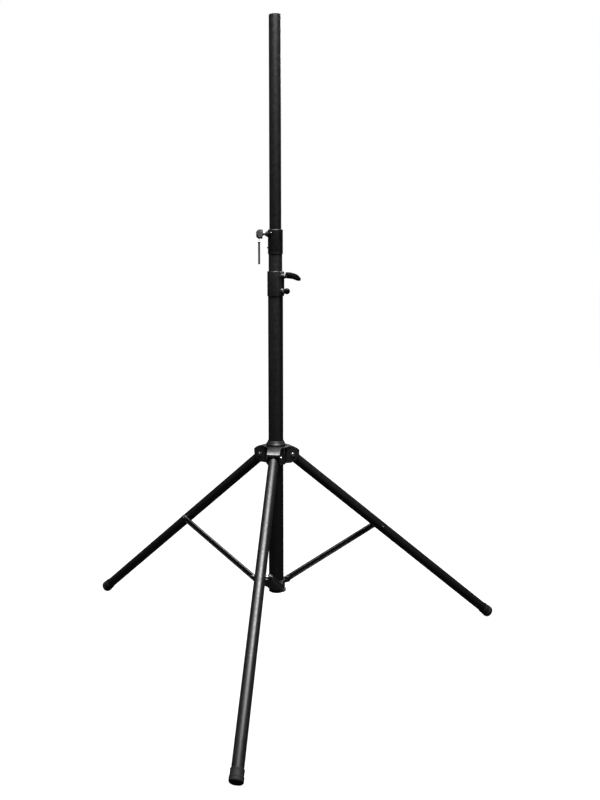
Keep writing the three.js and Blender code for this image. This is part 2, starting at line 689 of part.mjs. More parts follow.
function hub() {
  const glideInner = MAIN_TUBE_D / 2 + GAP;
  const glideOuter = glideInner + HUB_GLIDE_WALL;
  const bore = glideOuter + GAP;
  const barrel = HUB_BARREL_D / 2;
  const low = -HUB_BELOW_PIVOT;
  const high = HUB_ABOVE_PIVOT;
  const body = turned([
    [0, low],
    [barrel - HUB_BARREL_EDGE, low],
    [barrel, low + HUB_BARREL_EDGE],
    [barrel, high - HUB_RING_HEIGHT],
    [HUB_RING_TOP_D / 2, high],
    [0, high],
  ]);
  // the legs' ends keep clear of the barrel by their own rounding
  const reach = barrel - HUB_PIVOT_RADIUS + CHEEK_CLEAR;
  const parts = [body];
  const spaces = [];
  for (let i = 0; i < LEG_COUNT; i++) {
    const azimuth = rad(FIRST_LEG_AZIMUTH + (i * 360) / LEG_COUNT);
    const block = plate(clevisOutline(bore - HUB_PIVOT_RADIUS + 1), 2 * cheekOutside);
    parts.push(block.translate(HUB_PIVOT_RADIUS, 0, 0).rotateZ(azimuth));
    const space = plate(clevisSpace(reach), 2 * cheekInside).translate(HUB_PIVOT_RADIUS, 0, 0);
    const hole = alongY(rod(HUB_PIVOT_D / 2 + GAP, -2 * cheekOutside, 2 * cheekOutside));
    hole.translate(HUB_PIVOT_RADIUS, 0, 0);
    spaces.push(space.rotateZ(azimuth), hole.rotateZ(azimuth));
  }
  const boss = alongX(cone(BOSS_D / 2, BOSS_END_D / 2 + 1, bore + 1, barrel + HUB_BOSS_LENGTH));
  parts.push(boss.rotateZ(rad(HUB_KNOB_AZIMUTH)));
  const screwHole = alongX(rod(SCREW_D / 2 + SCREW_GAP, glideInner - 1, 2 * barrel));
  const knobHole = screwHole.rotateZ(rad(HUB_KNOB_AZIMUTH));
  const opening = rod(bore, low - 1, high + 1, TUBE_FACETS);
  const casting = cut(joined(...parts), opening, knobHole, ...spaces);
  add(stand, "hub", casting.translate(0, 0, hubPivotHeight), "black_cast");

  const head = high + GAP;
  const sleeveBody = turned([
    [glideInner, low],
    [glideOuter, low],
    [glideOuter, head],
    [HUB_GLIDE_HEAD_D / 2, head],
    [HUB_GLIDE_HEAD_D / 2, head + HUB_GLIDE_LIP],
    [glideInner + HUB_GLIDE_LIP, high + HUB_GLIDE_HEAD],
    [glideInner, high + HUB_GLIDE_HEAD],
  ]);
  const glideSleeve = cut(sleeveBody, knobHole);
  add(stand, "hub_glide", glideSleeve.translate(0, 0, hubPivotHeight), "nylon");
}

function hubKnob() {
  const group = station(HUB_KNOB_AZIMUTH, hubPivotHeight);
  const start = HUB_KNOB_REACH - HUB_KNOB_THICKNESS / 2;
  const end = HUB_KNOB_REACH + HUB_KNOB_THICKNESS / 2;
  const lobeAt = (HUB_KNOB_D - HUB_KNOB_LOBE_D) / 2;
  const lobes = [cone(lobeAt, lobeAt - 1, start, end, SMALL_FACETS)];
  for (let i = 0; i < HUB_KNOB_LOBES; i++) {
    const lobe = cone(HUB_KNOB_LOBE_D / 2, HUB_KNOB_LOBE_D / 2 - 1, start, end, SMALL_FACETS);
    lobes.push(lobe.translate(lobeAt, 0, 0).rotateZ((i * 2 * Math.PI) / HUB_KNOB_LOBES));
  }
  const socketEnd = HUB_KNOB_REACH;
  const handle = cut(joined(...lobes), rod(SCREW_D / 2 + GAP, start - 1, socketEnd));
  add(group, "hub_knob_handle", alongX(handle), "black_plastic");
  const tip = MAIN_TUBE_D / 2 + SCREW_GAP;
  add(group, "hub_knob_screw", alongX(rod(SCREW_D / 2, tip, socketEnd - GAP)), "zinc");
}

// ---- legs ----

// A leg's group: X runs down the leg from the hub pivot, Y is the side that its brace is on.
function legGroup(azimuth) {
  const group = station(azimuth, hubPivotHeight);
  const pivot = new THREE.Group();
  pivot.position.x = HUB_PIVOT_RADIUS;
  pivot.rotation.y = slope;
  group.add(pivot);
  return [group, pivot];
}

function leg(side, azimuth) {
  const [flat, sloped] = legGroup(azimuth);
  const boltHole = alongY(rod(HUB_PIVOT_D / 2 + GAP, -LEG_D, LEG_D));
  const jointHole = alongY(rod(BRACE_SCREW_D / 2 + GAP, -LEG_D, LEG_D));
  jointHole.translate(BRACE_JOINT_DISTANCE, 0, 0);
  // the leg's top end is rounded about the pivot, so that it turns clear of the hub
  const tubeEnd = LEG_LENGTH - FOOT_WEB - GAP;
  const rounded = joined(
    alongY(rod(legRadius, -LEG_D, LEG_D, TUBE_FACETS)),
    new THREE.BoxGeometry(LEG_LENGTH, 2 * LEG_D, 2 * LEG_D).translate(LEG_LENGTH / 2, 0, 0),
  );
  const bare = alongX(pipe(legRadius, legRadius - LEG_WALL, -legRadius, tubeEnd, LEG_FACETS));
  const tube = cut(common(bare, rounded), boltHole, jointHole);
  add(sloped, side + "_leg_tube", tube, "black_coat");

  const plugBody = alongX(rod(legRadius - LEG_WALL - GAP, -legRadius, LEG_PLUG_LENGTH, LEG_FACETS));
  add(sloped, side + "_leg_plug", cut(common(plugBody, rounded), boltHole), "black_plastic");

  // rubber foot: a cup over the tube's end, cut flat where it stands
  const cup = FOOT_D / 2;
  const inner = legRadius + GAP;
  const floorDrop = 2 * FOOT_LENGTH;
  const floor = new THREE.BoxGeometry(4 * LEG_LENGTH, 4 * FOOT_D, floorDrop);
  floor.translate(0, 0, -hubPivotHeight - floorDrop / 2).rotateY(-slope);
  const profile = [
    [0, LEG_LENGTH - FOOT_WEB],
    [inner, LEG_LENGTH - FOOT_WEB],
    [inner, LEG_LENGTH - FOOT_LENGTH],
    [cup - 1, LEG_LENGTH - FOOT_LENGTH],
    [cup, LEG_LENGTH - FOOT_LENGTH + 1],
  ];
  const arcSteps = 5;
  for (let i = 0; i <= arcSteps; i++) {
    const turn = (i * Math.PI) / 2 / arcSteps;
    profile.push([
      cup - FOOT_ROUND + FOOT_ROUND * Math.cos(turn),
      LEG_LENGTH - FOOT_ROUND + FOOT_ROUND * Math.sin(turn),
    ]);
  }
  profile.push([0, LEG_LENGTH]);
  add(sloped, side + "_foot", cut(alongX(turned(profile, TUBE_FACETS)), floor), "rubber");

  // hub pivot bolt and its nut, level with the hub's cheeks
  const headEnd = cheekOutside + GAP + BOLT_HEAD_LENGTH;
  const bolt = joined(
    rod(HUB_PIVOT_D / 2, -headEnd, cheekOutside),
    cone(BOLT_HEAD_D / 2, BOLT_HEAD_D / 2 - BOLT_HEAD_SLOPE, cheekOutside + GAP, headEnd),
    rod(HUB_PIVOT_D / 2, cheekOutside - 1, cheekOutside + GAP + 1),
  );
  const nut = cut(
    hexagon(BOLT_HEAD_D, cheekOutside + GAP, headEnd - 1),
    rod(HUB_PIVOT_D / 2 + GAP, cheekOutside, headEnd),
  );
  const toPivot = HUB_PIVOT_RADIUS;
  add(flat, side + "_pivot_bolt", alongY(bolt.rotateX(Math.PI)).translate(toPivot, 0, 0), "zinc");
  add(flat, side + "_pivot_nut", alongY(nut).translate(toPivot, 0, 0), "zinc");

  // bolt that carries the brace: its nut on the far side, its spacer on the brace's side
  const nutStart = legRadius + GAP;
  const nutEnd = nutStart + BRACE_NUT_LENGTH;
  const carrier = joined(
    rod(BRACE_SCREW_D / 2, -nutEnd - BRACE_BOLT_TAIL, tabOutside, SMALL_FACETS),
    hexagon(BRACE_HEAD_D - 1, -nutEnd, -nutStart),
  );
  const spacer = cut(
    rod(SPACER_D / 2, nutStart, tabOutside),
    rod(BRACE_SCREW_D / 2 + GAP, legRadius, tabOutside + 1),
  );
  add(sloped, side + "_brace_bolt", alongY(carrier).translate(BRACE_JOINT_DISTANCE, 0, 0), "zinc");
  add(sloped, side + "_brace_spacer", alongY(spacer).translate(BRACE_JOINT_DISTANCE, 0, 0), "zinc");
}

// ---- braces ----

function headedScrew(shankLow, underHead, headEnd) {
  return alongY(
    joined(
      rod(BRACE_SCREW_D / 2, shankLow, underHead + 1),
      cone(BRACE_HEAD_D / 2, BRACE_HEAD_D / 2 - 1, underHead, headEnd),
    ),
  );
}

function brace(side, azimuth) {
  const flat = station(azimuth, LOWER_PIVOT_HEIGHT);
  const pivot = new THREE.Group();
  pivot.position.x = LOWER_PIVOT_RADIUS;
  pivot.rotation.y = -braceSlope;
  flat.add(pivot);

  const half = BRACE_WIDTH / 2;
  const outline = new THREE.Shape();
  outline.absarc(0, 0, half, rad(90), rad(270), false);
  outline.absarc(braceLength, 0, half, rad(-90), rad(90), false);
  outline.closePath();
  const middle = (braceInside + braceOutside) / 2;
  const bar = plate(outline, BRACE_THICKNESS, BRACE_EDGE).translate(0, middle, 0);
  const hole = alongY(rod(BRACE_SCREW_D / 2 + GAP, tabInside, braceOutside + 1));
  const farHole = hole.clone().translate(braceLength, 0, 0);
  add(pivot, side + "_brace", cut(bar, hole, farHole), "black_coat");

  const head = braceOutside + GAP;
  const screw = headedScrew(braceInside + GAP, head, head + BRACE_HEAD_LENGTH);
  add(pivot, side + "_brace_top_screw", screw.translate(braceLength, 0, 0), "black_cast");
  const lower = headedScrew(tabInside + 1, head, head + BRACE_HEAD_LENGTH);
  add(flat, side + "_brace_foot_screw", lower.translate(LOWER_PIVOT_RADIUS, 0, 0), "black_cast");
}

function lowerHub() {
  const bore = MAIN_TUBE_D / 2 + GAP;
  const half = LOWER_HUB_HEIGHT / 2;
  const parts = [sleeve(LOWER_HUB_D / 2, -half, half)];
  const holes = [rod(bore, -half - 1, half + 1, TUBE_FACETS)];
  const outline = new THREE.Shape();
  outline.moveTo(bore / 2, TAB_ROOT_STEP - half);
  outline.lineTo(LOWER_PIVOT_RADIUS - TAB_NECK, -BRACE_WIDTH / 2);
  outline.absarc(LOWER_PIVOT_RADIUS, 0, BRACE_WIDTH / 2, rad(-90), rad(90), false);
  outline.lineTo(bore / 2, half - TAB_ROOT_STEP);
  outline.closePath();
  for (let i = 0; i < LEG_COUNT; i++) {
    const azimuth = rad(FIRST_LEG_AZIMUTH + (i * 360) / LEG_COUNT);
    const tab = plate(outline, TAB_THICKNESS).translate(0, (tabInside + tabOutside) / 2, 0);
    parts.push(tab.rotateZ(azimuth));
    const hole = alongY(rod(BRACE_SCREW_D / 2 + GAP, tabInside - 1, tabOutside + 1));
    holes.push(hole.translate(LOWER_PIVOT_RADIUS, 0, 0).rotateZ(azimuth));
  }
  const casting = cut(joined(...parts), ...holes);
  add(stand, "lower_hub", casting.translate(0, 0, LOWER_PIVOT_HEIGHT), "black_cast");
}

// ---- assembly ----

topTube();
middleTube();
mainTube();
upperCollar();
lowerCollar();
upperKnob();
lowerLever();
pullPin();
safetyPin();
hub();
hubKnob();
lowerHub();
const sides = ["front", "right", "left"];
for (let i = 0; i < LEG_COUNT; i++) {
  const azimuth = FIRST_LEG_AZIMUTH + (i * 360) / LEG_COUNT;
  leg(sides[i], azimuth);
  brace(sides[i], azimuth);
}

// The origin is the middle of the bounding box's base.
const bounds = new THREE.Box3().setFromObject(stand, true);
const middle = bounds.getCenter(new THREE.Vector3());
stand.position.set(-middle.x, -middle.y, -bounds.min.z);

const part = new THREE.Group();
part.add(stand);

export default part;
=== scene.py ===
# Folding tripod stand for a loudspeaker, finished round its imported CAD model.
# The frame is in metres. Shapes here are drawn in millimetres and scaled once, in piece().
import json
import math

import bmesh
import bpy
from mathutils import Matrix, Vector


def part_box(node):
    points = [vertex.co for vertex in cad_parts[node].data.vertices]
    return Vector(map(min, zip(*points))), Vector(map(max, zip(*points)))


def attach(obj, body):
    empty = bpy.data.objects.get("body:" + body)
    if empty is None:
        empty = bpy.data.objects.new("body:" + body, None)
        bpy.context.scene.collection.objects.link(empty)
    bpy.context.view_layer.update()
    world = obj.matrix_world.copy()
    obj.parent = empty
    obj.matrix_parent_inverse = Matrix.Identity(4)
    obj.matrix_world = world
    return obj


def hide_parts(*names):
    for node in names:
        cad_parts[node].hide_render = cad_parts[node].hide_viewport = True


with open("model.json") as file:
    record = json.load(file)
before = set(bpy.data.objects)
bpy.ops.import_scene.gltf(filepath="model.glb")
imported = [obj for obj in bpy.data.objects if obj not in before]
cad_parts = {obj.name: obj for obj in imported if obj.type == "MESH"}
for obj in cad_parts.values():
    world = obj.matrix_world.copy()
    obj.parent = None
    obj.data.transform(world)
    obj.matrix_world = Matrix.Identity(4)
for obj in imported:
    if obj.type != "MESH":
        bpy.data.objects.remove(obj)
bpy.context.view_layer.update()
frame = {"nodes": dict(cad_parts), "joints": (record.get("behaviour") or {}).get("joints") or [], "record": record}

MM = 0.001
TURN = 96  # facets round a tube or collar
SMALL_TURN = 48  # facets round a screw or knob
SIDES = ("front", "right", "left")

# Walls, clearances and details that the frame's boxes don't give, in millimetres.
GAP = 0.3
SLIDE_GAP = 0.2
TOP_WALL = 1.8
MIDDLE_WALL = 1.8
MAIN_WALL = 1.6
LEG_WALL = 1.5
LEG_D = 30.0
COLLAR_LIP = 4.0
COLLAR_WALL = 2.0
BOSS = 9.0  # a boss's radius at its root
PAD_PROUD = 3.0
PAD_HALF_WIDTH = 9.0
SPIGOT_BORE = 10.0
SCREW = 4.0  # a clamp screw's radius
SCREW_PITCH = 1.25
SCREW_HOLE = 4.4
SCREW_SOCKET = 4.3
TIP_GAP = 0.4  # from a clamp screw's or pin's end to the tube that it presses on
PIN_HOLE = 5.3
JOINT_BOLT = 3.0  # the radius of a brace's bolts
JOINT_HOLE = 3.3
ACROSS = 30.0  # half the length of a hole drilled right through a leg or a clevis
CHEEK_INSIDE = LEG_D / 2 + 0.6
CHEEK_OUTSIDE = CHEEK_INSIDE + 3.4
BRACE_THICKNESS = 8.0
BRACE_HALF_WIDTH = 8.5
TAB_OUT = LEG_D / 2 + 6.5  # the side of the brace's spacer and lug, from the leg's middle


# ---- places, read from the frame ----

JOINTS = {joint["name"]: joint for joint in frame["joints"]}


def box_mm(node):
    low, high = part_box(node)
    return low / MM, high / MM


def pivot_of(joint):
    return Vector(JOINTS[joint]["pos_m"]) / MM


def radius_of(node):
    """Half the width of an upright round node."""
    low, high = box_mm(node)
    return (high.x - low.x) / 2


tube_low, tube_high = box_mm("main_tube")
MAST = Vector(((tube_low.x + tube_high.x) / 2, (tube_low.y + tube_high.y) / 2, 0))
MAIN_TUBE = radius_of("main_tube")
MIDDLE_TUBE = radius_of("middle_tube")
TOP_TUBE = radius_of("top_tube")
UPPER_COLLAR = MIDDLE_TUBE + COLLAR_WALL
LOWER_COLLAR = MAIN_TUBE + COLLAR_WALL
PAD_FACE = LOWER_COLLAR + PAD_PROUD
LEVER_BOSS_END = PAD_FACE + 11
PIN_BOSS_END = PAD_FACE + 4
KNOB_NECK_START = UPPER_COLLAR + 13
LEVER_NECK_START = LEVER_BOSS_END + 1.5


def azimuth_of(point):
    return math.atan2(point.y - MAST.y, point.x - MAST.x)


def reach_of(point):
    return math.hypot(point.y - MAST.y, point.x - MAST.x)


def station(azimuth, height):
    """A frame on the mast's axis, X pointing out at an azimuth."""
    place = Matrix.Translation((MAST.x, MAST.y, height))
    return place @ Matrix.Rotation(azimuth, 4, "Z")


def on_mast(height=0.0):
    return Matrix.Translation((MAST.x, MAST.y, height))


ALONG_X = Matrix.Rotation(math.radians(90), 4, "Y")
ALONG_Y = Matrix.Rotation(math.radians(-90), 4, "X")


def shift(x=0.0, y=0.0, z=0.0):
    return Matrix.Translation((x, y, z))


KNOB_PLACE = pivot_of("upper_knob_turn")
LEVER_PLACE = pivot_of("lower_lever_turn")
HUB_KNOB_PLACE = pivot_of("hub_knob_turn")
LEG_PIVOTS = {side: pivot_of(side + "_leg_fold") for side in SIDES}
BRACE_PIVOTS = {side: pivot_of(side + "_brace_fold") for side in SIDES}
HUB_HEIGHT = LEG_PIVOTS["front"].z
PIVOT_RADIUS = reach_of(LEG_PIVOTS["front"])


def joint_centre(side):
    """Where a leg and its brace are bolted together, in the leg's own plane: out and up."""
    low, high = box_mm(side + "_brace_top_screw")
    azimuth = azimuth_of(LEG_PIVOTS[side])
    middle = (low + high) / 2 - MAST
    out = middle.x * math.cos(azimuth) + middle.y * math.sin(azimuth)
    return out, middle.z


JOINT_OUT, JOINT_UP = joint_centre("front")
LEG_SLOPE = math.atan2(HUB_HEIGHT - JOINT_UP, JOINT_OUT - PIVOT_RADIUS)
BRACE_JOINT = math.hypot(HUB_HEIGHT - JOINT_UP, JOINT_OUT - PIVOT_RADIUS)
LOWER_RADIUS = reach_of(BRACE_PIVOTS["front"])
LOWER_HEIGHT = BRACE_PIVOTS["front"].z
BRACE_SLOPE = math.atan2(JOINT_UP - LOWER_HEIGHT, JOINT_OUT - LOWER_RADIUS)
BRACE_LENGTH = math.hypot(JOINT_UP - LOWER_HEIGHT, JOINT_OUT - LOWER_RADIUS)


# ---- camera ----

FOCAL = 1.166375  # in image heights
CAMERA_RANGE = 2.7493
CAMERA_HEIGHT = 1.1843
CAMERA_ROUND = math.radians(6.939)
CAMERA_YAW = math.radians(4.441)
CAMERA_DOWN = math.radians(3.352)
CAMERA_ROLL = math.radians(-0.42)
SENSOR = 36.0

camera_data = bpy.data.cameras.new("camera")
camera_data.sensor_width = SENSOR
camera_data.lens = FOCAL * SENSOR
camera_data.shift_x = 0.121
camera_data.shift_y = -0.1147
camera_data.clip_end = 60.0
camera = bpy.data.objects.new("camera", camera_data)
bpy.context.scene.collection.objects.link(camera)
out_x = CAMERA_RANGE * math.sin(CAMERA_ROUND)
out_y = -CAMERA_RANGE * math.cos(CAMERA_ROUND)
camera.matrix_world = (
    Matrix.Translation((MAST.x * MM + out_x, MAST.y * MM + out_y, CAMERA_HEIGHT))
    @ Matrix.Rotation(CAMERA_ROUND + CAMERA_YAW, 4, "Z")
    @ Matrix.Rotation(math.radians(90) - CAMERA_DOWN, 4, "X")
    @ Matrix.Rotation(CAMERA_ROLL, 4, "Z")
)
bpy.context.scene.camera = camera


# ---- materials ----

class Nodes:
    """A material's node tree, with short calls to add and join nodes."""

    def __init__(self, name):
        self.material = bpy.data.materials.new(name)
        self.material.use_nodes = True
        self.tree = self.material.node_tree
        self.shader = self.tree.nodes["Principled BSDF"]
        self.coords = self.tree.nodes.new("ShaderNodeTexCoord").outputs["Object"]

    def add(self, kind, **values):
        node = self.tree.nodes.new(kind)
        for name, value in values.items():
            setattr(node, name, value)
        return node

    def join(self, start, end):
        self.tree.links.new(start, end)

    def noise(self, scale, detail=3.0, roughness=0.5, stretch=None):
        node = self.add("ShaderNodeTexNoise")
        node.inputs["Scale"].default_value = scale
        node.inputs["Detail"].default_value = detail
        node.inputs["Roughness"].default_value = roughness
        source = self.coords
        if stretch:
            mapping = self.add("ShaderNodeMapping")
            mapping.inputs["Scale"].default_value = stretch
            self.join(source, mapping.inputs["Vector"])
            source = mapping.outputs["Vector"]
        self.join(source, node.inputs["Vector"])
        return node.outputs["Fac"]

    def cells(self, scale):
        node = self.add("ShaderNodeTexVoronoi", feature="SMOOTH_F1")
        node.inputs["Scale"].default_value = scale
        self.join(self.coords, node.inputs["Vector"])
        return node.outputs["Distance"]

    def spread(self, value, low, high, start=0.3, end=0.7):
        node = self.add("ShaderNodeMapRange")
        node.inputs["From Min"].default_value = start
        node.inputs["From Max"].default_value = end
        node.inputs["To Min"].default_value = low
        node.inputs["To Max"].default_value = high
        self.join(value, node.inputs["Value"])
        return node.outputs["Result"]

    def colours(self, value, dark, light):
        node = self.add("ShaderNodeValToRGB")
        node.color_ramp.elements[0].position = 0.3
        node.color_ramp.elements[1].position = 0.7
        node.color_ramp.elements[0].color = (*dark, 1)
        node.color_ramp.elements[1].color = (*light, 1)
        self.join(value, node.inputs["Fac"])
        self.join(node.outputs["Color"], self.shader.inputs["Base Color"])

    def bump(self, height, distance, strength=1.0, under=None):
        node = self.add("ShaderNodeBump")
        node.inputs["Strength"].default_value = strength
        node.inputs["Distance"].default_value = distance
        self.join(height, node.inputs["Height"])
        if under:
            self.join(under, node.inputs["Normal"])
        return node.outputs["Normal"]


def tinted(colour, factor):
    return tuple(channel * factor for channel in colour)


# Black finishes are drawn darker than their stated colour, as the softboxes are strong.
BLACK_TONE = 0.22
ZINC_TONE = 0.7

SLOT_COLOURS = {m["slot"]: m["base_color"][:3] for m in frame["record"]["materials"]}


def coated(slot, roughness, grain, grain_depth, peel=0.0, mottle=0.25, specular=0.5):
    """A painted or moulded black finish: fine grain, a slow mottle of tone and of gloss."""
    nodes = Nodes(slot)
    colour = tinted(SLOT_COLOURS[slot], BLACK_TONE)
    slow = nodes.noise(35.0, 4.0, 0.6)
    nodes.colours(slow, tinted(colour, 1 - mottle), tinted(colour, 1 + mottle))
    patches = nodes.noise(90.0, 5.0, 0.6)
    gloss = nodes.spread(patches, roughness - 0.06, roughness + 0.08)
    nodes.join(gloss, nodes.shader.inputs["Roughness"])
    fine = nodes.noise(grain, 2.0, 0.55)
    normal = nodes.bump(fine, grain_depth)
    if peel:
        normal = nodes.bump(nodes.cells(grain * 0.4), peel, 1.0, normal)
    nodes.join(normal, nodes.shader.inputs["Normal"])
    nodes.shader.inputs["Specular IOR Level"].default_value = specular
    return nodes.material


def plated(slot, roughness):
    """Bright zinc plate: a faint drawn grain, cloudy gloss and a slow warm and cool drift."""
    nodes = Nodes(slot)
    colour = tinted(SLOT_COLOURS[slot], ZINC_TONE)
    warm = (colour[0] * 1.04, colour[1] * 1.0, colour[2] * 0.92)
    cool = (colour[0] * 0.9, colour[1] * 0.93, colour[2] * 1.0)
    nodes.colours(nodes.noise(120.0, 3.0), warm, cool)
    gloss = nodes.spread(nodes.noise(160.0, 3.0, 0.5), roughness - 0.05, roughness + 0.08)
    nodes.join(gloss, nodes.shader.inputs["Roughness"])
    drawn = nodes.noise(2500.0, 2.0, 0.6, stretch=(1.0, 1.0, 0.12))
    nodes.join(nodes.bump(drawn, 0.000002), nodes.shader.inputs["Normal"])
    nodes.shader.inputs["Metallic"].default_value = 1.0
    return nodes.material


MATERIALS = {
    "black_coat": coated("black_coat", 0.42, 2600.0, 0.00003, peel=0.00004),
    "black_cast": coated("black_cast", 0.42, 1500.0, 0.00005, peel=0.00004, specular=0.7),
    "black_plastic": coated("black_plastic", 0.56, 3200.0, 0.00002, mottle=0.15, specular=0.2),
    "rubber": coated("rubber", 0.72, 2200.0, 0.00008, mottle=0.3, specular=0.35),
    "nylon": coated("nylon", 0.5, 2600.0, 0.00003, mottle=0.2),
    "zinc": plated("zinc", 0.3),
}


# ---- outlines ----

def rounded(corners, steps=5):
    """A closed outline's corners, (x, y) or (x, y, radius), with an arc where there is a radius."""
    outline = []
    count = len(corners)
    for i, corner in enumerate(corners):
        here = Vector(corner[:2])
        if len(corner) == 2:
            outline.append(tuple(here))
            continue
        back = Vector(corners[i - 1][:2]) - here
        ahead = Vector(corners[(i + 1) % count][:2]) - here
        half = back.angle(ahead) / 2
        radius = min(corner[2], 0.49 * min(back.length, ahead.length) * math.tan(half))
        middle = here + (back.normalized() + ahead.normalized()).normalized() * radius / math.sin(half)
        start = here + back.normalized() * radius / math.tan(half) - middle
        end = here + ahead.normalized() * radius / math.tan(half) - middle
        sweep = start.angle_signed(end)
        for k in range(steps + 1):
            turn = Matrix.Rotation(-sweep * k / steps, 2)
            outline.append(tuple(middle + turn @ start))
    return outline


def arc(x, y, radius, start, end, steps=16):
    """Points on an arc about (x, y), its angles in degrees."""
    turns = [math.radians(start + (end - start) * k / steps) for k in range(steps + 1)]
    return [(x + radius * math.cos(t), y + radius * math.sin(t)) for t in turns]


def curve(start, control, end, steps=10):
    """Points on a quadratic curve."""
    points = []
    for k in range(steps + 1):
        t = k / steps
        weights = ((1 - t) ** 2, 2 * t * (1 - t), t * t)
        points.append(
            tuple(sum(w * p[axis] for w, p in zip(weights, (start, control, end))) for axis in (0, 1))
        )
    return points


# ---- solids, as bmeshes in millimetres ----

def lathe(profile, facets=TURN, ripple=None):
    """An outline of (radius, height) turned about Z. ripple(angle, radius, height) changes a radius."""
    bm = bmesh.new()
    rings = []
    for radius, height in profile:
        if radius < 1e-6:
            rings.append([bm.verts.new((0, 0, height))])
            continue
        ring = []
        for k in range(facets):
            angle = 2 * math.pi * k / facets
            r = ripple(angle, radius, height) if ripple else radius
            ring.append(bm.verts.new((r * math.cos(angle), r * math.sin(angle), height)))
        rings.append(ring)
    pairs = list(zip(rings, rings[1:]))
    if len(rings[0]) > 1 or len(rings[-1]) > 1:
        pairs.append((rings[-1], rings[0]))
    for low, high in pairs:
        if len(low) == 1 and len(high) == 1:
            continue
        for k in range(facets):
            n = (k + 1) % facets
            corners = [low[k % len(low)], low[n % len(low)], high[n % len(high)], high[k % len(high)]]
            bm.faces.new(list(dict.fromkeys(corners)))
    bmesh.ops.recalc_face_normals(bm, faces=bm.faces)
    return bm


def rod(radius, low, high, edge=0.0, facets=SMALL_TURN):
    corners = [(0, low), (radius, low, edge), (radius, high, edge), (0, high)]
    if not edge:
        corners = [corner[:2] for corner in corners]
    return lathe(rounded(corners, 3), facets)


def pipe(outer, inner, low, high, edge=0.5, facets=TURN):
    corners = [(inner, low, edge / 2), (outer, low, edge), (outer, high, edge), (inner, high, edge / 2)]
    return lathe(rounded(corners, 3), facets)


def threaded(radius, pitch, low, high):
    """A rod with a screw thread: its radius follows a helix."""
    steps_per_turn = 6
    count = max(2, int((high - low) / pitch * steps_per_turn))
    depth = 0.3 * pitch
    profile = [(0, low)]
    profile += [(radius, low + (high - low) * k / count) for k in range(count + 1)]
    profile += [(0, high)]

    def helix(angle, r, height):
        ends = min(1.0, (height - low) / pitch, (high - height) / pitch)
        phase = (height / pitch - angle / (2 * math.pi)) % 1
        return r - depth * abs(2 * phase - 1) - (1 - max(ends, 0)) * depth

    return lathe(profile, 24, helix)


def hexagon(across, low, high, chamfer=0.8):
    """A hexagonal nut's or bolt's body, its corners turned down at both ends."""
    prism = lathe([(0, low), (across / math.sqrt(3), low), (across / math.sqrt(3), high), (0, high)], 6)
    corner = across / math.sqrt(3)
    cone = rounded(
        [(0, low), (across / 2 - 0.1, low), (corner + 0.1, low + chamfer), (corner + 0.1, high - chamfer),
         (across / 2 - 0.1, high), (0, high)]
    )
    return combined("INTERSECT", prism, lathe(cone, SMALL_TURN))


def extruded(outline, thickness, edge=0.0):
    """An outline drawn in X and Z, thickness along Y and centred, its rims bevelled by edge."""
    bm = bmesh.new()
    face = bm.faces.new([bm.verts.new((x, -thickness / 2, z)) for x, z in outline])
    grown = bmesh.ops.extrude_face_region(bm, geom=[face])
    far_side = [v for v in grown["geom"] if isinstance(v, bmesh.types.BMVert)]
    bmesh.ops.translate(bm, verts=far_side, vec=(0, thickness, 0))
    bmesh.ops.recalc_face_normals(bm, faces=bm.faces)
    if edge:
        rims = [e for e in bm.edges if abs(e.verts[0].co.y - e.verts[1].co.y) < 1e-6]
        bmesh.ops.bevel(
            bm, geom=rims, offset=edge, segments=3, profile=0.5, affect="EDGES", clamp_overlap=True
        )
    return bm


def block(low, high, edge=0.0):
    bm = bmesh.new()
    bmesh.ops.create_cube(bm, size=1.0)
    low, high = Vector(low), Vector(high)
    size = high - low
    bm.transform(Matrix.Translation((low + high) / 2) @ Matrix.Diagonal((*size, 1)))
    if edge:
        bmesh.ops.bevel(bm, geom=bm.edges[:], offset=edge, segments=3, profile=0.5, affect="EDGES")
    return bm


def moved(bm, *matrices):
    """bm with the matrices applied, the last one first."""
    whole = Matrix.Identity(4)
    for matrix in matrices:
        whole = whole @ matrix
    bm.transform(whole)
    return bm


def working(bm):
    mesh = bpy.data.meshes.new("working")
    bm.to_mesh(mesh)
    bm.free()
    obj = bpy.data.objects.new("working", mesh)
    bpy.context.scene.collection.objects.link(obj)
    return obj


def evaluated(obj, *tools):
    graph = bpy.context.evaluated_depsgraph_get()
    bm = bmesh.new()
    bm.from_mesh(obj.evaluated_get(graph).data)
    for used in (obj, *tools):
        mesh = used.data
        bpy.data.objects.remove(used)
        bpy.data.meshes.remove(mesh)
    return bm


def combined(operation, base, *others):
    """The union, difference or intersection of closed solids."""
    target = working(base)
    tools = [working(other) for other in others]
    for tool in tools:
        modifier = target.modifiers.new("combine", "BOOLEAN")
        modifier.object = tool
        modifier.operation = operation
        modifier.solver = "MANIFOLD"
    result = evaluated(target, *tools)
    if not result.faces:
        raise RuntimeError("a Boolean left nothing")
    return result


def softened(bm, grid, passes, keep):
    """A solid remade on an even grid and smoothed, so that its corners get a casting's fillets."""
    target = working(bm)
    remesh = target.modifiers.new("grid", "REMESH")
    remesh.mode = "VOXEL"
    remesh.voxel_size = grid
    smooth = target.modifiers.new("fillets", "SMOOTH")
    smooth.factor = 0.5
    smooth.iterations = passes
    thin = target.modifiers.new("thin", "DECIMATE")
    thin.ratio = keep
    return evaluated(target)


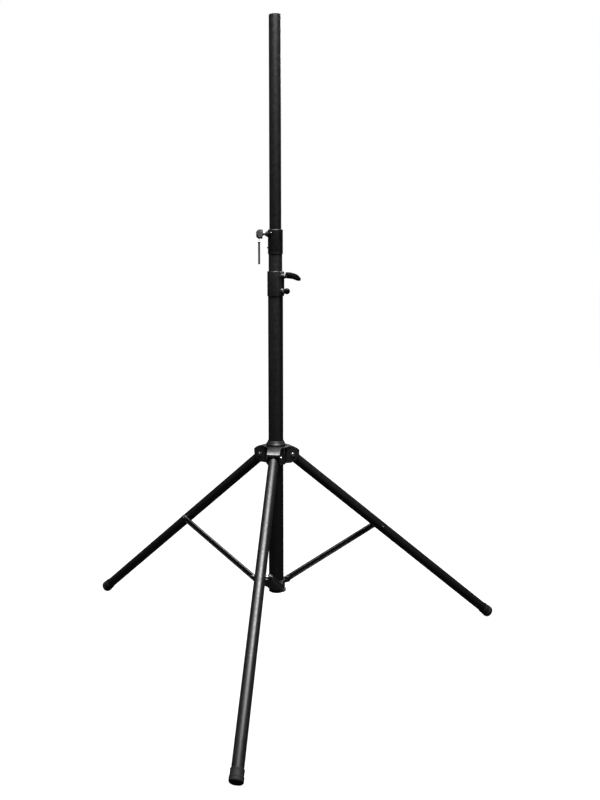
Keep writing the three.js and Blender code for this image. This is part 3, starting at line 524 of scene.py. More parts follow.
def piece(name, bm, body, slot, *nodes, sharp=32):
    """A finished piece on its body, in place of the CAD nodes named."""
    bmesh.ops.remove_doubles(bm, verts=bm.verts, dist=1e-4)
    bmesh.ops.recalc_face_normals(bm, faces=bm.faces)
    bm.transform(Matrix.Scale(MM, 4))
    mesh = bpy.data.meshes.new(name)
    bm.to_mesh(mesh)
    bm.free()
    mesh.polygons.foreach_set("use_smooth", [True] * len(mesh.polygons))
    mesh.set_sharp_from_angle(angle=math.radians(sharp))
    mesh.materials.append(MATERIALS[slot])
    obj = bpy.data.objects.new(name, mesh)
    bpy.context.scene.collection.objects.link(obj)
    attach(obj, body)
    if nodes:
        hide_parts(*nodes)
    return obj


# ---- the safety pin and its wire ----

WIRE_D = 0.0015
# out from the mast, to the knob's left and up from the knob's axis, in metres
WIRE_ROUTE = [
    (0.0143, 0.0205, 0.0030),
    (0.0165, 0.0235, 0.0036),
    (0.0194, 0.0269, 0.0043),
    (0.0231, 0.0303, 0.0048),
    (0.0275, 0.0333, 0.0047),
    (0.0322, 0.0355, 0.0031),
    (0.0366, 0.0368, 0.0002),
    (0.0404, 0.0374, -0.0038),
    (0.0434, 0.0376, -0.0082),
    (0.0455, 0.0376, -0.0126),
    (0.0467, 0.0376, -0.0168),
    (0.0470, 0.0376, -0.0200),
]


def smooth_line(points, steps=8):
    """A Catmull-Rom line through the points."""
    ends = [2 * points[0] - points[1], *points, 2 * points[-1] - points[-2]]
    line = []
    for a, b, c, d in zip(ends, ends[1:], ends[2:], ends[3:]):
        for k in range(steps):
            t = k / steps
            bend = 2 * a - 5 * b + 4 * c - d
            twist = 3 * b - a - 3 * c + d
            line.append(0.5 * (2 * b + (c - a) * t + bend * t**2 + twist * t**3))
    return [*line, points[-1]]


def swept(line, radius, strands=6, lay_length=0.006, facets=24):
    """A twisted wire along a line, in metres: its section is a ring of strands that turns as it goes."""
    bm = bmesh.new()
    rings = []
    normal = None
    travelled = 0.0
    for k, here in enumerate(line):
        before, after = line[max(k - 1, 0)], line[min(k + 1, len(line) - 1)]
        along = (after - before).normalized()
        normal = (normal or Vector((0, 0, 1))) - along * (normal or Vector((0, 0, 1))).dot(along)
        normal.normalize()
        side = along.cross(normal)
        travelled += (here - before).length if k else 0.0
        ring = []
        for j in range(facets):
            angle = 2 * math.pi * j / facets
            lobe = abs(math.cos(strands / 2 * (angle - 2 * math.pi * travelled / lay_length)))
            r = radius * (0.86 + 0.14 * lobe)
            ring.append(bm.verts.new(here + r * (math.cos(angle) * normal + math.sin(angle) * side)))
        rings.append(ring)
    for low, high in zip(rings, rings[1:]):
        for j in range(facets):
            n = (j + 1) % facets
            bm.faces.new((low[j], low[n], high[n], high[j]))
    bm.faces.new(rings[0][::-1])
    bm.faces.new(rings[-1])
    return bm


def safety_pin():
    place = station(azimuth_of(KNOB_PLACE), 0)
    base = Vector((MAST.x * MM, MAST.y * MM, KNOB_PLACE.z * MM))
    points = [base + place.to_3x3() @ Vector(point) for point in WIRE_ROUTE]
    line = smooth_line(points)
    wire = piece(
        "pin_wire_rope", moved(swept(line, WIRE_D / 2), Matrix.Scale(1 / MM, 4)), "middle", "zinc", "pin_wire"
    )
    pin = frame["nodes"]["safety_pin"]
    pin.data.materials.clear()
    pin.data.materials.append(MATERIALS["zinc"])
    pin.data.polygons.foreach_set("use_smooth", [True] * len(pin.data.polygons))
    pin.data.set_sharp_from_angle(angle=math.radians(32))


safety_pin()


# ---- mast ----

def mast_tube(name, body, wall, holes=()):
    low, high = box_mm(name)
    outer = radius_of(name)
    tube = pipe(outer, outer - wall, low.z, high.z, 0.5)
    for azimuth, height, radius in holes:
        turn = Matrix.Rotation(azimuth, 4, "Z")
        drill = moved(rod(radius, outer / 2, outer * 2), turn, shift(z=height), ALONG_X)
        tube = combined("DIFFERENCE", tube, drill)
    piece(name + "_drawn", moved(tube, on_mast()), body, "black_coat", name)
    return outer, outer - wall


def glide(name, body, inner_tube_end, spigot):
    """A nylon glide under a tube's end: a grooved flange and a spigot up the bore."""
    low, high = box_mm(name)
    top = inner_tube_end - GAP
    bore = SPIGOT_BORE
    outer = radius_of(name)
    groove = outer - SLIDE_GAP - 0.5
    corners = [
        (bore, low.z, 0.4), (outer - 1.2, low.z), (outer, low.z + 1.2), (outer, low.z + 2.6),
        (groove, low.z + 2.9), (groove, top - 2.9), (outer, top - 2.6), (outer, top, 0.3),
        (spigot, top), (spigot, high.z, 0.6), (bore, high.z, 0.4),
    ]
    piece(name + "_moulded", moved(lathe(rounded(corners)), on_mast()), body, "nylon", name)


def end_plug(name, body, rim, upward):
    """A moulded plug: its spigot in the tube's bore, and a rounded lid with a shallow dish."""
    low, high = box_mm(name)
    outer = radius_of(name)
    face = high.z - 3 if upward else low.z + 3
    lid = high.z if upward else low.z
    tail = low.z if upward else high.z
    sign = 1 if upward else -1
    corners = [
        (0, tail), (rim, tail, 0.6), (rim, face), (outer, face, 0.2), (outer, lid, 1.3),
        (outer * 0.62, lid, 0.3), (outer * 0.58, lid - 0.7 * sign, 0.3), (0, lid - 0.7 * sign),
    ]
    piece(name + "_moulded", moved(lathe(rounded(corners)), on_mast()), body, "black_plastic", name)


LEVER_AZIMUTH = azimuth_of(LEVER_PLACE)
KNOB_AZIMUTH = azimuth_of(KNOB_PLACE)
pin_low, pin_high = box_mm("pull_pin_rod")
PULL_HEIGHT = (pin_low.z + pin_high.z) / 2


def mast():
    top_end = box_mm("top_tube")[0].z
    middle_end = box_mm("middle_tube")[0].z
    _, top_bore = mast_tube("top_tube", "top", TOP_WALL)
    mast_tube("middle_tube", "middle", MIDDLE_WALL, [(KNOB_AZIMUTH, KNOB_PLACE.z, SCREW_HOLE)])
    holes = [(LEVER_AZIMUTH, LEVER_PLACE.z, SCREW_HOLE), (LEVER_AZIMUTH, PULL_HEIGHT, PIN_HOLE)]
    _, main_bore = mast_tube("main_tube", "stand", MAIN_WALL, holes)
    glide("top_tube_glide", "top_glide", top_end, radius_of("top_tube_glide") - 2.1)
    glide("middle_tube_glide", "middle", middle_end, radius_of("middle_tube_glide") - 2.9)
    end_plug("top_cap", "top", top_bore - GAP, True)
    end_plug("main_tube_plug", "stand", main_bore - GAP, False)


def boss(radius, end_radius, start, end, flare=3.0):
    """A round boss along X: a flared root, tapering sides and a face with a rounded rim."""
    root = start + flare + 2.5
    profile = [(0, start), (radius + flare, start)]
    profile += curve((radius + flare, start + 0.5), (radius, start + 1.2), (radius - 0.6, root))
    profile += [(end_radius, end - 0.8), (end_radius - 0.3, end - 0.25), (end_radius - 0.9, end), (0, end)]
    return moved(lathe(profile, SMALL_TURN), ALONG_X)


def collar_body(radius, low, high, bands):
    """A collar's outside: rounded rims and shallow turned grooves at the heights in bands."""
    corners = [(0, low), (radius, low, 1.2)]
    for height in bands:
        corners += [(radius, height - 0.8), (radius - 0.6, height - 0.4), (radius - 0.6, height + 0.4),
                    (radius, height + 0.8)]
    corners += [(radius, high, 1.4), (0, high)]
    return lathe(rounded(corners))


def collar_space(tube, inner_tube, low, high):
    """A collar's inside: a bore for its own tube, a shelf on the tube's end and a lip round the next."""
    shelf = high - COLLAR_LIP
    wide, narrow = tube + GAP, inner_tube + 0.4
    mouth = 0.8
    return lathe([
        (0, low - 1), (wide + mouth, low - 1), (wide + mouth, low), (wide, low + mouth), (wide, shelf),
        (narrow, shelf), (narrow, high - mouth), (narrow + mouth, high), (narrow + mouth, high + 1),
        (0, high + 1),
    ])


def upper_collar():
    low, high = box_mm("upper_collar")
    bottom, top = low.z, high.z
    turn = Matrix.Rotation(KNOB_AZIMUTH, 4, "Z")
    lug = moved(boss(BOSS, 6.0, MIDDLE_TUBE - 1, UPPER_COLLAR + 8), turn)
    drill = moved(rod(SCREW_HOLE, MIDDLE_TUBE - 4, UPPER_COLLAR + 20), turn, ALONG_X)
    body = moved(collar_body(UPPER_COLLAR, bottom, top, (top - 5.0, bottom + 5.0)), shift(z=-KNOB_PLACE.z))
    space = moved(collar_space(MIDDLE_TUBE, TOP_TUBE, bottom, top), shift(z=-KNOB_PLACE.z))
    whole = combined("UNION", body, lug)
    collar = combined("DIFFERENCE", whole, space, drill)
    piece("upper_collar_cast", moved(collar, on_mast(KNOB_PLACE.z)), "middle", "black_cast", "upper_collar")


def lower_collar():
    low, high = box_mm("lower_collar")
    bottom, top = low.z, high.z
    turn = Matrix.Rotation(LEVER_AZIMUTH, 4, "Z")
    pad = block((MAIN_TUBE - 3, -PAD_HALF_WIDTH, bottom + 2), (PAD_FACE, PAD_HALF_WIDTH, top - 2), 1.6)
    lever_lug = moved(boss(BOSS, 6.0, MAIN_TUBE + 2, LEVER_BOSS_END, 2.0), shift(z=LEVER_PLACE.z))
    pin_lug = moved(boss(BOSS, 7.0, MAIN_TUBE + 2, PIN_BOSS_END, 1.0), shift(z=PULL_HEIGHT))
    bolts = []
    head, root = -PAD_HALF_WIDTH - 0.9, 1 - PAD_HALF_WIDTH
    for height in (LEVER_PLACE.z, PULL_HEIGHT):
        rim = lathe(rounded([(0, head), (2.4, head, 0.5), (2.4, root), (0, root)]), 24)
        bolts.append(moved(rim, shift(LOWER_COLLAR - 0.5, 0, height), ALONG_Y))
    body = collar_body(LOWER_COLLAR, bottom, top, (top - 36.0,))
    whole = combined("UNION", body, *[moved(solid, turn) for solid in (pad, lever_lug, pin_lug, *bolts)])
    drills = [
        moved(rod(SCREW_HOLE, MAIN_TUBE / 2, PAD_FACE + 20), turn, shift(z=LEVER_PLACE.z), ALONG_X),
        moved(rod(PIN_HOLE, MAIN_TUBE / 2, PAD_FACE + 20), turn, shift(z=PULL_HEIGHT), ALONG_X),
    ]
    space = collar_space(MAIN_TUBE, MIDDLE_TUBE, bottom, top)
    collar = combined("DIFFERENCE", whole, space, *drills)
    piece("lower_collar_cast", moved(collar, on_mast()), "stand", "black_cast", "lower_collar")


# ---- T knobs ----

def knob_bar(length, depth, end_depth, thickness, sweep):
    """A curved grip along Y: an oval section that tapers and sweeps back towards both rounded tips."""
    bm = bmesh.new()
    rings = []
    stations, around = 64, 40
    half = length / 2
    tip = 0.1  # the share of each half that rounds off
    squareness = 0.42  # 1 is an ellipse, 0 a rectangle
    for k in range(stations + 1):
        s = -math.cos(math.pi * k / stations)
        taper = abs(s) ** 1.4
        end = max(0.0, (abs(s) - (1 - tip)) / tip)
        close = math.sqrt(max(1 - end * end, 0.0))
        wide = (depth + (end_depth - depth) * taper) / 2 * close
        thick = thickness / 2 * (1 - 0.55 * taper) * close
        middle = -sweep * s * s
        if close < 1e-3:
            rings.append([bm.verts.new((middle, s * half, 0))])
            continue
        ring = []
        for j in range(around):
            angle = 2 * math.pi * j / around
            c, q = math.cos(angle), math.sin(angle)
            x = math.copysign(abs(c) ** squareness, c)
            z = math.copysign(abs(q) ** squareness, q)
            dish = 0.9 * max(0.0, x) ** 4 * (1 - abs(z)) ** 0.5 * close
            ring.append(bm.verts.new((middle + x * wide - dish, s * half, z * thick)))
        rings.append(ring)
    for low, high in zip(rings, rings[1:]):
        for j in range(around):
            n = (j + 1) % around
            corners = [low[j % len(low)], low[n % len(low)], high[n % len(high)], high[j % len(high)]]
            bm.faces.new(list(dict.fromkeys(corners)))
    bmesh.ops.recalc_face_normals(bm, faces=bm.faces)
    return bm


def t_knob(name, place, tilt, tube, neck_start):
    """A clamp knob: the moulded T grip, and its threaded screw through the collar onto a tube."""
    azimuth, reach = azimuth_of(place), reach_of(place)
    depth = 18.0
    back = neck_start - reach
    bar = knob_bar(length=62.0, depth=depth, end_depth=14.0, thickness=15.0, sweep=5.0)
    neck = [(0, back), (5.4, back, 0.4), (8.2, 2.0), (0, 2.0)]
    grip = combined("UNION", bar, moved(lathe(rounded(neck), SMALL_TURN), ALONG_X))
    socket = moved(rod(SCREW_SOCKET, back - 1, -depth / 2), ALONG_X)
    grip = combined("DIFFERENCE", softened(grip, grid=0.42, passes=3, keep=0.5), socket)
    turn = station(azimuth, place.z)
    handle = moved(grip, turn, shift(reach), Matrix.Rotation(math.radians(tilt), 4, "X"))
    piece(name + "_grip", handle, name, "black_plastic", name + "_handle")
    screw = threaded(SCREW, SCREW_PITCH, tube + TIP_GAP, reach - depth / 2 - GAP)
    piece(name + "_thread", moved(screw, turn, ALONG_X), name, "zinc", name + "_screw")


def pull_pin():
    """The index pin in its threaded bush, and its fluted ball knob."""
    turn = station(LEVER_AZIMUTH, PULL_HEIGHT)
    shaft_radius, ball_radius = 3.0, 9.0
    bore = shaft_radius + GAP
    hex_start = PIN_BOSS_END + GAP
    hex_end = hex_start + 5
    tip = MIDDLE_TUBE + TIP_GAP
    barrel = combined("UNION", rod(5.0, tip + 1, hex_start + 1), hexagon(13.0, hex_start, hex_end))
    barrel = combined("DIFFERENCE", barrel, rod(bore, tip, hex_end + 1))
    piece("pull_pin_bush", moved(barrel, turn, ALONG_X), "stand", "zinc", "pull_pin_barrel")
    start = hex_end + 1.5
    end = start + 12
    shaft = rod(shaft_radius, tip, start + 6, 0.5)
    piece("pull_pin_shaft", moved(shaft, turn, ALONG_X), "pull_pin", "zinc", "pull_pin_rod")

    def fluted(angle, radius, height):
        grip = max(0.0, 1 - abs(height - (start + 5.5)) / 6) if radius > 6 else 0.0
        return radius - 0.45 * grip * (0.5 - 0.5 * math.cos(12 * angle))

    profile = [(bore, start), (5.6, start), (6.6, start + 0.4)]
    profile += arc(0, start + 5.4, ball_radius, -38, 40, 14)
    socket_end = start + 6.3
    profile += [(6.0, end - 0.9), (4.6, end - 0.25), (2.4, end), (0, end)]
    profile += [(0, socket_end), (bore, socket_end)]
    profile = [(r, min(max(h, start), end)) for r, h in profile]
    knob = lathe(profile, 72, fluted)
    piece("pull_pin_ball", moved(knob, turn, ALONG_X), "pull_pin", "black_plastic", "pull_pin_knob")


def small_fasteners():
    low, high = box_mm("collar_rivet")
    middle = (low + high) / 2
    azimuth = azimuth_of(middle)
    seat = UPPER_COLLAR + GAP
    rivet = [(0, 20.6), (1.25, 20.6), (1.25, seat)] + arc(0, seat, 2.5, 0, 88, 8) + [(0, seat + 2.5)]
    turn = station(azimuth, middle.z)
    piece("collar_rivet_dome", moved(lathe(rivet, 32), turn, ALONG_X), "middle", "zinc", "collar_rivet")
    low, high = box_mm("wire_eyelet")
    middle = (low + high) / 2
    place = station(azimuth_of(middle), middle.z)
    out = math.hypot(WIRE_ROUTE[0][0], WIRE_ROUTE[0][1]) / MM - GAP
    ferrule = [(0, seat), (2.5, seat, 0.3), (2.3, seat + 1.1, 0.3), (1.6, out, 0.3), (0, out)]
    piece("wire_ferrule", moved(lathe(rounded(ferrule), 32), place, ALONG_X), "middle", "zinc", "wire_eyelet")


# ---- hub ----

HUB_LOW, HUB_HIGH = (v.z - HUB_HEIGHT for v in box_mm("hub"))
GLIDE_HIGH = box_mm("hub_glide")[1].z - HUB_HEIGHT
BARREL = 29.0
HUB_BORE = 24.6
HOOD_TOP = 28.0
HOOD_REACH = 22.0
HOOD_TIP = 13.0
HOOD_LIP = 7.5
HOOD_WALL = 3.5


def clevis_block():
    inner = HUB_BORE - PIVOT_RADIUS + 1
    outline = [(inner, HUB_LOW + 3), (-4, HUB_LOW + 3)]
    outline += arc(0, 0, 21.0, -90, -8)
    outline += [(HOOD_REACH, HOOD_TIP - HOOD_LIP)]
    outline += curve((HOOD_REACH, HOOD_TIP), (HOOD_REACH / 2, HOOD_TOP - 3), (inner + 8, HOOD_TOP))
    outline += [(inner, HOOD_TOP)]
    return extruded(outline, 2 * CHEEK_OUTSIDE)


def clevis_space():
    inner = BARREL - PIVOT_RADIUS + 0.6
    under = HUB_LOW - 5
    outline = [
        (inner, under), (HOOD_REACH + 5, under), (HOOD_REACH + 5, HOOD_TIP - HOOD_LIP),
        (HOOD_REACH - HOOD_WALL, HOOD_TIP - HOOD_LIP),
    ]
    top = HOOD_TOP - HOOD_WALL
    outline += curve((HOOD_REACH - HOOD_WALL, HOOD_TIP - 1), (HOOD_REACH / 2, top - 3), (inner + 8, top))
    outline += [(inner, top)]
    return extruded(outline, 2 * CHEEK_INSIDE)


def web_plate():
    """The plate between the hoods: three arms joined by hollow curves."""
    radius = 60.0
    centre = (CHEEK_OUTSIDE + radius) / math.sin(math.radians(60))
    outline = []
    for i in range(3):
        azimuth = 60 + 120 * i
        x, y = centre * math.cos(math.radians(azimuth)), centre * math.sin(math.radians(azimuth))
        outline += arc(x, y, radius, azimuth + 180 + 30, azimuth + 180 - 30, 20)
    plate = extruded([(x, y) for x, y in outline], 5.0)
    return moved(plate, shift(z=23.5), Matrix.Rotation(math.radians(90), 4, "X"))


def hub_body():
    azimuths = [azimuth_of(LEG_PIVOTS[side]) for side in SIDES]
    profile = rounded([
        (0, HUB_LOW), (BARREL, HUB_LOW, 1.5), (BARREL - 0.6, HUB_HIGH - 11.0),
        (BARREL - 2.2, HUB_HIGH - 8.8, 1.0), (BARREL, HUB_HIGH - 6.8, 1.2), (BARREL, HUB_HIGH - 4.8, 1.2),
        (BARREL - 2.8, HUB_HIGH, 0.5), (0, HUB_HIGH),
    ])
    parts = [lathe(profile)]
    spaces = []
    for azimuth in azimuths:
        place = Matrix.Rotation(azimuth, 4, "Z") @ shift(PIVOT_RADIUS)
        parts.append(moved(clevis_block(), place))
        spaces.append(moved(clevis_space(), place))
    web = moved(web_plate(), Matrix.Rotation(azimuths[0], 4, "Z"))
    knob_turn = Matrix.Rotation(azimuth_of(HUB_KNOB_PLACE), 4, "Z")
    parts += [web, moved(boss(BOSS, 7.0, BARREL - 3, BARREL + 9), knob_turn)]
    cast = combined("DIFFERENCE", combined("UNION", *parts), *spaces)
    cast = softened(cast, grid=0.75, passes=4, keep=0.45)
    mouth = 0.8
    opening = lathe([
        (0, HUB_LOW - 1), (HUB_BORE + mouth, HUB_LOW - 1), (HUB_BORE + mouth, HUB_LOW),
        (HUB_BORE, HUB_LOW + mouth), (HUB_BORE, HUB_HIGH + 2), (0, HUB_HIGH + 2),
    ])
    cutters = [opening, moved(rod(SCREW_HOLE, 20, 50), knob_turn, ALONG_X)]
    for azimuth in azimuths:
        place = Matrix.Rotation(azimuth, 4, "Z") @ shift(PIVOT_RADIUS)
        cutters.append(moved(rod(SCREW_SOCKET, -ACROSS, ACROSS), place, ALONG_Y))
    cast = combined("DIFFERENCE", cast, *cutters)
    piece("hub_cast", moved(cast, on_mast(HUB_HEIGHT)), "hub", "black_cast", "hub", sharp=40)

    inner, outer = HUB_BORE - 2.3, HUB_BORE - GAP
    rim = HUB_HIGH + GAP
    sleeve = lathe(rounded([
        (inner, HUB_LOW, 0.4), (outer, HUB_LOW, 0.4), (outer, rim), (outer + 1.2, rim, 0.3),
        (outer + 0.9, rim + 1.6, 0.8), (inner + 1.0, GLIDE_HIGH, 0.5), (inner, GLIDE_HIGH, 0.2),
    ]))
    drill = moved(rod(SCREW_HOLE, 15, 50), knob_turn, ALONG_X)
    sleeve = combined("DIFFERENCE", sleeve, drill)
    piece("hub_sleeve", moved(sleeve, on_mast(HUB_HEIGHT)), "hub", "nylon", "hub_glide")


def hub_knob():
    azimuth, reach = azimuth_of(HUB_KNOB_PLACE), reach_of(HUB_KNOB_PLACE)
    start, end = reach - 6.5, reach + 6.5

    def lobed(angle, radius, height):
        if radius < 8:
            return radius
        return radius * (0.86 + 0.14 * math.cos(5 * angle))

    profile = rounded([
        (0, start), (7.0, start, 0.5), (8.2, start + 1.6), (13.5, start + 1.6, 1.4), (16.0, start + 4.2, 2.4),
        (15.2, end - 1.6, 2.6), (9.0, end, 1.0), (8.0, end - 0.8), (0, end - 0.8),
    ], 6)
    knob = lathe(profile, 120, lobed)
    knob = combined("DIFFERENCE", knob, rod(SCREW_SOCKET, start - 1, reach))
    turn = station(azimuth, HUB_HEIGHT)
    piece("hub_knob_grip", moved(knob, turn, ALONG_X), "hub_knob", "black_plastic", "hub_knob_handle")
    screw = threaded(SCREW, SCREW_PITCH, MAIN_TUBE + TIP_GAP, reach - GAP)
    piece("hub_knob_thread", moved(screw, turn, ALONG_X), "hub_knob", "zinc", "hub_knob_screw")


# ---- legs and braces ----

def leg_place(side):
    """The leg's own frame: X down the leg from its pivot, Y towards its brace."""
    pivot = LEG_PIVOTS[side]
    turn = station(azimuth_of(pivot), HUB_HEIGHT)
    return turn @ shift(PIVOT_RADIUS) @ Matrix.Rotation(LEG_SLOPE, 4, "Y")


def domed_head(radius, start, height, recess=2.2):
    """A pan head along Z with a hexagon socket."""
    end = start + height
    side = (radius, start + height * 0.25)
    profile = [(0, start), (radius, start), side]
    profile += curve(side, (radius * 0.98, end), (radius * 0.45, end), 8)[1:]
    profile += [(0, end)]
    key = lathe([(0, end - 1.8), (recess, end - 1.8), (recess, end + 1), (0, end + 1)], 6)
    return combined("DIFFERENCE", lathe(profile, SMALL_TURN), key)


def lock_nut(across, start, end, bore):
    """A hexagon nut with a turned collar at its outer end, and a washer face under it."""
    body = hexagon(across, start + 0.4, end - 0.8, 0.7)
    face = rod(across / 2 - 0.2, start, start + 0.6, 0.1)
    ring = rod(across / 2 - 1.6, end - 1.2, end, 0.3)
    return combined("DIFFERENCE", combined("UNION", body, face, ring), rod(bore, start - 1, end + 1))


def domed_end(radius, length):
    """The space of a leg along X whose end at the pivot is rounded about the pivot's axis."""
    dome = moved(rod(radius, -ACROSS, ACROSS, facets=TURN), ALONG_Y)
    return combined("UNION", dome, block((0, -ACROSS, -ACROSS), (length, ACROSS, ACROSS)))


def leg(side, leg_length, foot_radius):
    place = leg_place(side)
    radius = LEG_D / 2
    body = side + "_leg"
    end = leg_length - 9.3
    bare = moved(pipe(radius, radius - LEG_WALL, -radius, end, 0.4), ALONG_X)
    pivot_hole = moved(rod(SCREW_SOCKET, -ACROSS, ACROSS), ALONG_Y)
    joint_hole = moved(rod(JOINT_HOLE, -ACROSS, ACROSS), shift(BRACE_JOINT), ALONG_Y)
    tube = combined("INTERSECT", bare, domed_end(radius, leg_length))
    tube = combined("DIFFERENCE", tube, pivot_hole, joint_hole)
    piece(side + "_leg_drawn", moved(tube, place), body, "black_coat", side + "_leg_tube")

    # the plug fills the tube's open end, its face a little inside the tube's
    plug = moved(rod(radius - LEG_WALL - GAP, -radius, 34, 0.6, TURN), ALONG_X)
    plug = combined("INTERSECT", plug, domed_end(radius - 0.8, 60))
    plug = combined("DIFFERENCE", plug, moved(rod(SCREW_SOCKET, -ACROSS, ACROSS), ALONG_Y))
    piece(side + "_leg_bung", moved(plug, place), body, "black_plastic", side + "_leg_plug")

    foot(side, place, leg_length, foot_radius)

    bolt_end = CHEEK_OUTSIDE + GAP
    flat = station(azimuth_of(LEG_PIVOTS[side]), HUB_HEIGHT) @ shift(PIVOT_RADIUS)
    head = domed_head(6.5, bolt_end, 3.5, 2.9)
    shank = rod(SCREW, -bolt_end - 3.5, bolt_end + 1, 0.4)
    bolt = moved(combined("UNION", shank, head), ALONG_Y, Matrix.Rotation(math.pi, 4, "X"))
    piece(side + "_pivot_capscrew", moved(bolt, flat), "hub", "zinc", side + "_pivot_bolt")
    nut = moved(lock_nut(13.0, bolt_end, bolt_end + 2.5, SCREW_SOCKET), ALONG_Y)
    piece(side + "_pivot_locknut", moved(nut, flat), "hub", "zinc", side + "_pivot_nut")

    at_joint = place @ shift(BRACE_JOINT)
    tail = radius + GAP + 5
    carrier = combined(
        "UNION", threaded(JOINT_BOLT, 1.0, -tail - 4, -tail + 1), rod(JOINT_BOLT, -tail, TAB_OUT),
        moved(lock_nut(10.0, radius + GAP, tail, 2.6), Matrix.Rotation(math.pi, 4, "X")),
    )
    piece(side + "_joint_bolt", moved(carrier, at_joint, ALONG_Y), body, "black_cast", side + "_brace_bolt")
    spacer = pipe(5.0, JOINT_HOLE, radius + GAP, TAB_OUT, 0.5, SMALL_TURN)
    piece(side + "_joint_spacer", moved(spacer, at_joint, ALONG_Y), body, "zinc", side + "_brace_spacer")


def foot(side, place, leg_length, radius):
    """A rubber cup over the leg's end: a lip, two grip rings and a domed sole cut flat on the floor."""
    inner = LEG_D / 2 + GAP
    mouth = leg_length - 30
    corners = [
        (0, leg_length - 9), (inner, leg_length - 9), (inner, mouth, 0.3), (radius - 0.9, mouth, 0.8),
        (radius - 0.5, mouth + 3.0, 0.5), (radius - 1.1, mouth + 3.8), (radius - 1.1, mouth + 15.5),
        (radius, mouth + 16.8, 0.5), (radius, mouth + 19.6, 0.5), (radius - 0.5, mouth + 20.2),
        (radius - 0.1, mouth + 21.4, 0.4), (radius, leg_length, 7.0), (0, leg_length),
    ]
    cup = moved(lathe(rounded(corners, 8)), place, ALONG_X)
    floor = block((-1500, -1500, -200), (1500, 1500, 0))
    piece(side + "_foot_moulded", combined("DIFFERENCE", cup, floor), side + "_leg", "rubber", side + "_foot")


def stadium(length, half):
    return arc(0, 0, half, 90, 270, 20) + arc(length, 0, half, -90, 90, 20)


def brace(side):
    """A flat brace with rounded rims and a channel pressed along each face, and its two screws."""
    pivot = BRACE_PIVOTS[side]
    flat = station(azimuth_of(pivot), LOWER_HEIGHT) @ shift(LOWER_RADIUS)
    place = flat @ Matrix.Rotation(-BRACE_SLOPE, 4, "Y")
    inside = TAB_OUT + GAP
    outside = inside + BRACE_THICKNESS
    bar = extruded(stadium(BRACE_LENGTH, BRACE_HALF_WIDTH), BRACE_THICKNESS, 1.4)
    bar = moved(bar, shift(y=(inside + outside) / 2))
    channels = []
    for y in (inside, outside):
        channel = extruded(stadium(BRACE_LENGTH - 34, 5.2), 2.4, 0.5)
        channels.append(moved(channel, shift(17, y)))
    holes = [moved(rod(JOINT_HOLE, TAB_OUT - 5, outside + 2), shift(x), ALONG_Y) for x in (0, BRACE_LENGTH)]
    bar = combined("DIFFERENCE", bar, *channels, *holes)
    piece(side + "_brace_pressed", moved(bar, place), side + "_brace", "black_coat", side + "_brace")
    at_leg = place @ shift(BRACE_LENGTH)
    for name, low, body, node, frame_at in (
        ("_brace_top_capscrew", inside + GAP, side + "_brace", "_brace_top_screw", at_leg),
        ("_brace_foot_capscrew", TAB_OUT - 4, "stand", "_brace_foot_screw", flat),
    ):
        head = domed_head(5.5, outside + GAP, 3.5, 2.4)
        screw = moved(combined("UNION", rod(JOINT_BOLT, low, outside + 1), head), ALONG_Y)
        piece(side + name, moved(screw, frame_at), body, "black_cast", side + node)


def lower_hub():
    """The fixed hub at the foot of the mast: a sleeve and three offset lugs for the braces."""
    half = 13.5  # half its height
    radius = MAIN_TUBE + 4
    bore = MAIN_TUBE + GAP
    profile = rounded([(0, -half), (radius, -half, 1.5), (radius, half, 1.5), (0, half)])
    inside, outside = TAB_OUT - 5, TAB_OUT
    parts = [lathe(profile)]
    drills = []
    for side in SIDES:
        turn = Matrix.Rotation(azimuth_of(BRACE_PIVOTS[side]), 4, "Z")
        outline = [(bore / 2, -half + 2), (LOWER_RADIUS - 3, -BRACE_HALF_WIDTH)]
        outline += arc(LOWER_RADIUS, 0, BRACE_HALF_WIDTH, -90, 90) + [(bore / 2, half - 2)]
        lug = extruded(outline, outside - inside, 0.6)
        parts.append(moved(lug, turn, shift(y=(inside + outside) / 2)))
        drills.append(moved(rod(JOINT_HOLE, inside - 2, outside + 2), turn, shift(LOWER_RADIUS), ALONG_Y))
    cast = softened(combined("UNION", *parts), grid=0.6, passes=3, keep=0.5)
    mouth = 0.7
    opening = lathe([
        (0, -half - 1), (bore + mouth, -half - 1), (bore + mouth, -half), (bore, -half + mouth),
        (bore, half - mouth), (bore + mouth, half), (bore + mouth, half + 1), (0, half + 1),
    ])
    cast = combined("DIFFERENCE", cast, opening, *drills)
    piece("lower_hub_cast", moved(cast, on_mast(LOWER_HEIGHT)), "stand", "black_cast", "lower_hub", sharp=40)


def legs():
    foot_radius = radius_of("front_foot")
    # the foot's lowest corner fixes the leg's length: its sole is an arc of 7 mm cut 0.6 mm flat
    fillet, worn = 7.0, 0.6
    drop = HUB_HEIGHT - fillet + worn - (foot_radius - fillet) * math.cos(LEG_SLOPE)
    leg_length = drop / math.sin(LEG_SLOPE) + fillet
    for side in SIDES:
        leg(side, leg_length, foot_radius)
        brace(side)


mast()
upper_collar()
lower_collar()
t_knob("upper_knob", KNOB_PLACE, -22, TOP_TUBE, KNOB_NECK_START)
t_knob("lower_lever", LEVER_PLACE, -20, MIDDLE_TUBE, LEVER_NECK_START)
pull_pin()
small_fasteners()
hub_body()
hub_knob()
lower_hub()
legs()


# ---- floor, light and background ----

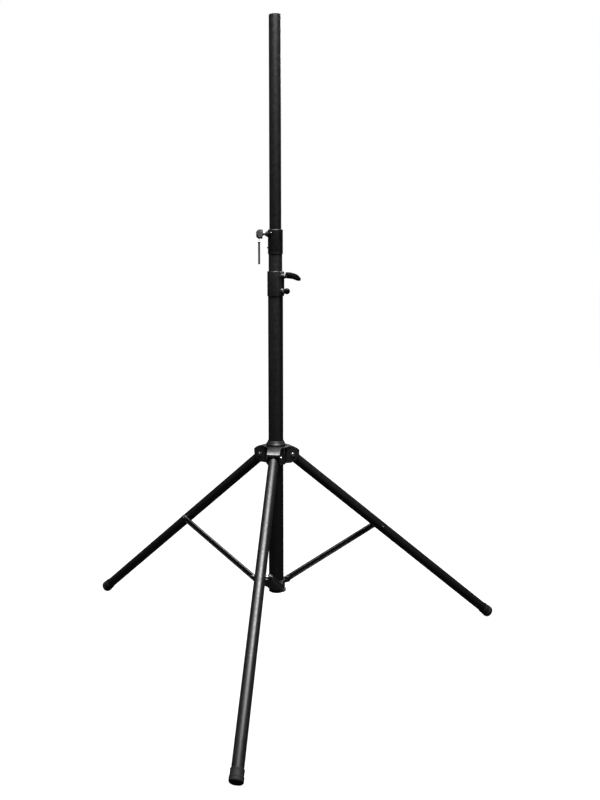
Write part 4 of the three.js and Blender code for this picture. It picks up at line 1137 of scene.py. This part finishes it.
def glowing(name, colour, strength):
    nodes = Nodes(name)
    nodes.colours(nodes.noise(0.5, 1.0), tinted(colour, 0.998), colour)
    nodes.shader.inputs["Roughness"].default_value = 0.9
    nodes.shader.inputs["Specular IOR Level"].default_value = 0.0
    nodes.shader.inputs["Emission Color"].default_value = (1, 1, 1, 1)
    nodes.shader.inputs["Emission Strength"].default_value = strength
    return nodes.material


def backing(name, bm, material):
    """A stage piece that the camera sees and the object doesn't reflect."""
    mesh = bpy.data.meshes.new(name)
    bm.to_mesh(mesh)
    bm.free()
    mesh.materials.append(material)
    obj = bpy.data.objects.new(name, mesh)
    bpy.context.scene.collection.objects.link(obj)
    obj.visible_diffuse = False
    obj.visible_glossy = False
    return obj


def studio():
    scene = bpy.context.scene
    scene.view_settings.view_transform = "Standard"
    ground = bmesh.new()
    bmesh.ops.create_circle(ground, cap_ends=True, radius=30.0, segments=64)
    floor = backing("floor", ground, glowing("floor", (0.12, 0.12, 0.12), 0.992))
    floor.location.z = -0.0005
    sky = bmesh.new()
    bmesh.ops.create_uvsphere(sky, u_segments=48, v_segments=24, radius=29.0)
    backdrop = backing("backdrop", sky, glowing("backdrop", (0.0, 0.0, 0.0), 1.0))
    backdrop.visible_shadow = False
    backdrop.visible_transmission = False

    world = bpy.data.worlds.new("studio")
    world.use_nodes = True
    world.node_tree.nodes["Background"].inputs["Color"].default_value = (1, 1, 1, 1)
    world.node_tree.nodes["Background"].inputs["Strength"].default_value = 0.035
    scene.world = world

    # name, place, what it points at, width, height, watts
    for name, place, target, width, height, power in (
        ("overhead", (0.5, -1.1, 5.4), (0.4, -1.0, 0.0), 2.4, 2.6, 800),
        ("right_strip", (2.3, -1.9, 1.5), (0, 0.18, 1.0), 0.35, 2.2, 2.5),
        ("left_strip", (-2.6, -0.8, 1.6), (0, 0.18, 1.0), 0.3, 2.2, 1.5),
        ("back", (0.6, 2.8, 2.8), (0, 0.1, 0.8), 1.6, 1.2, 40),
    ):
        data = bpy.data.lights.new(name, "AREA")
        data.shape = "RECTANGLE"
        data.size = width
        data.size_y = height
        data.energy = power
        lamp = bpy.data.objects.new(name, data)
        scene.collection.objects.link(lamp)
        lamp.location = place
        lamp.rotation_euler = (Vector(target) - Vector(place)).to_track_quat("-Z", "Y").to_euler()
        lamp.visible_camera = False


studio()
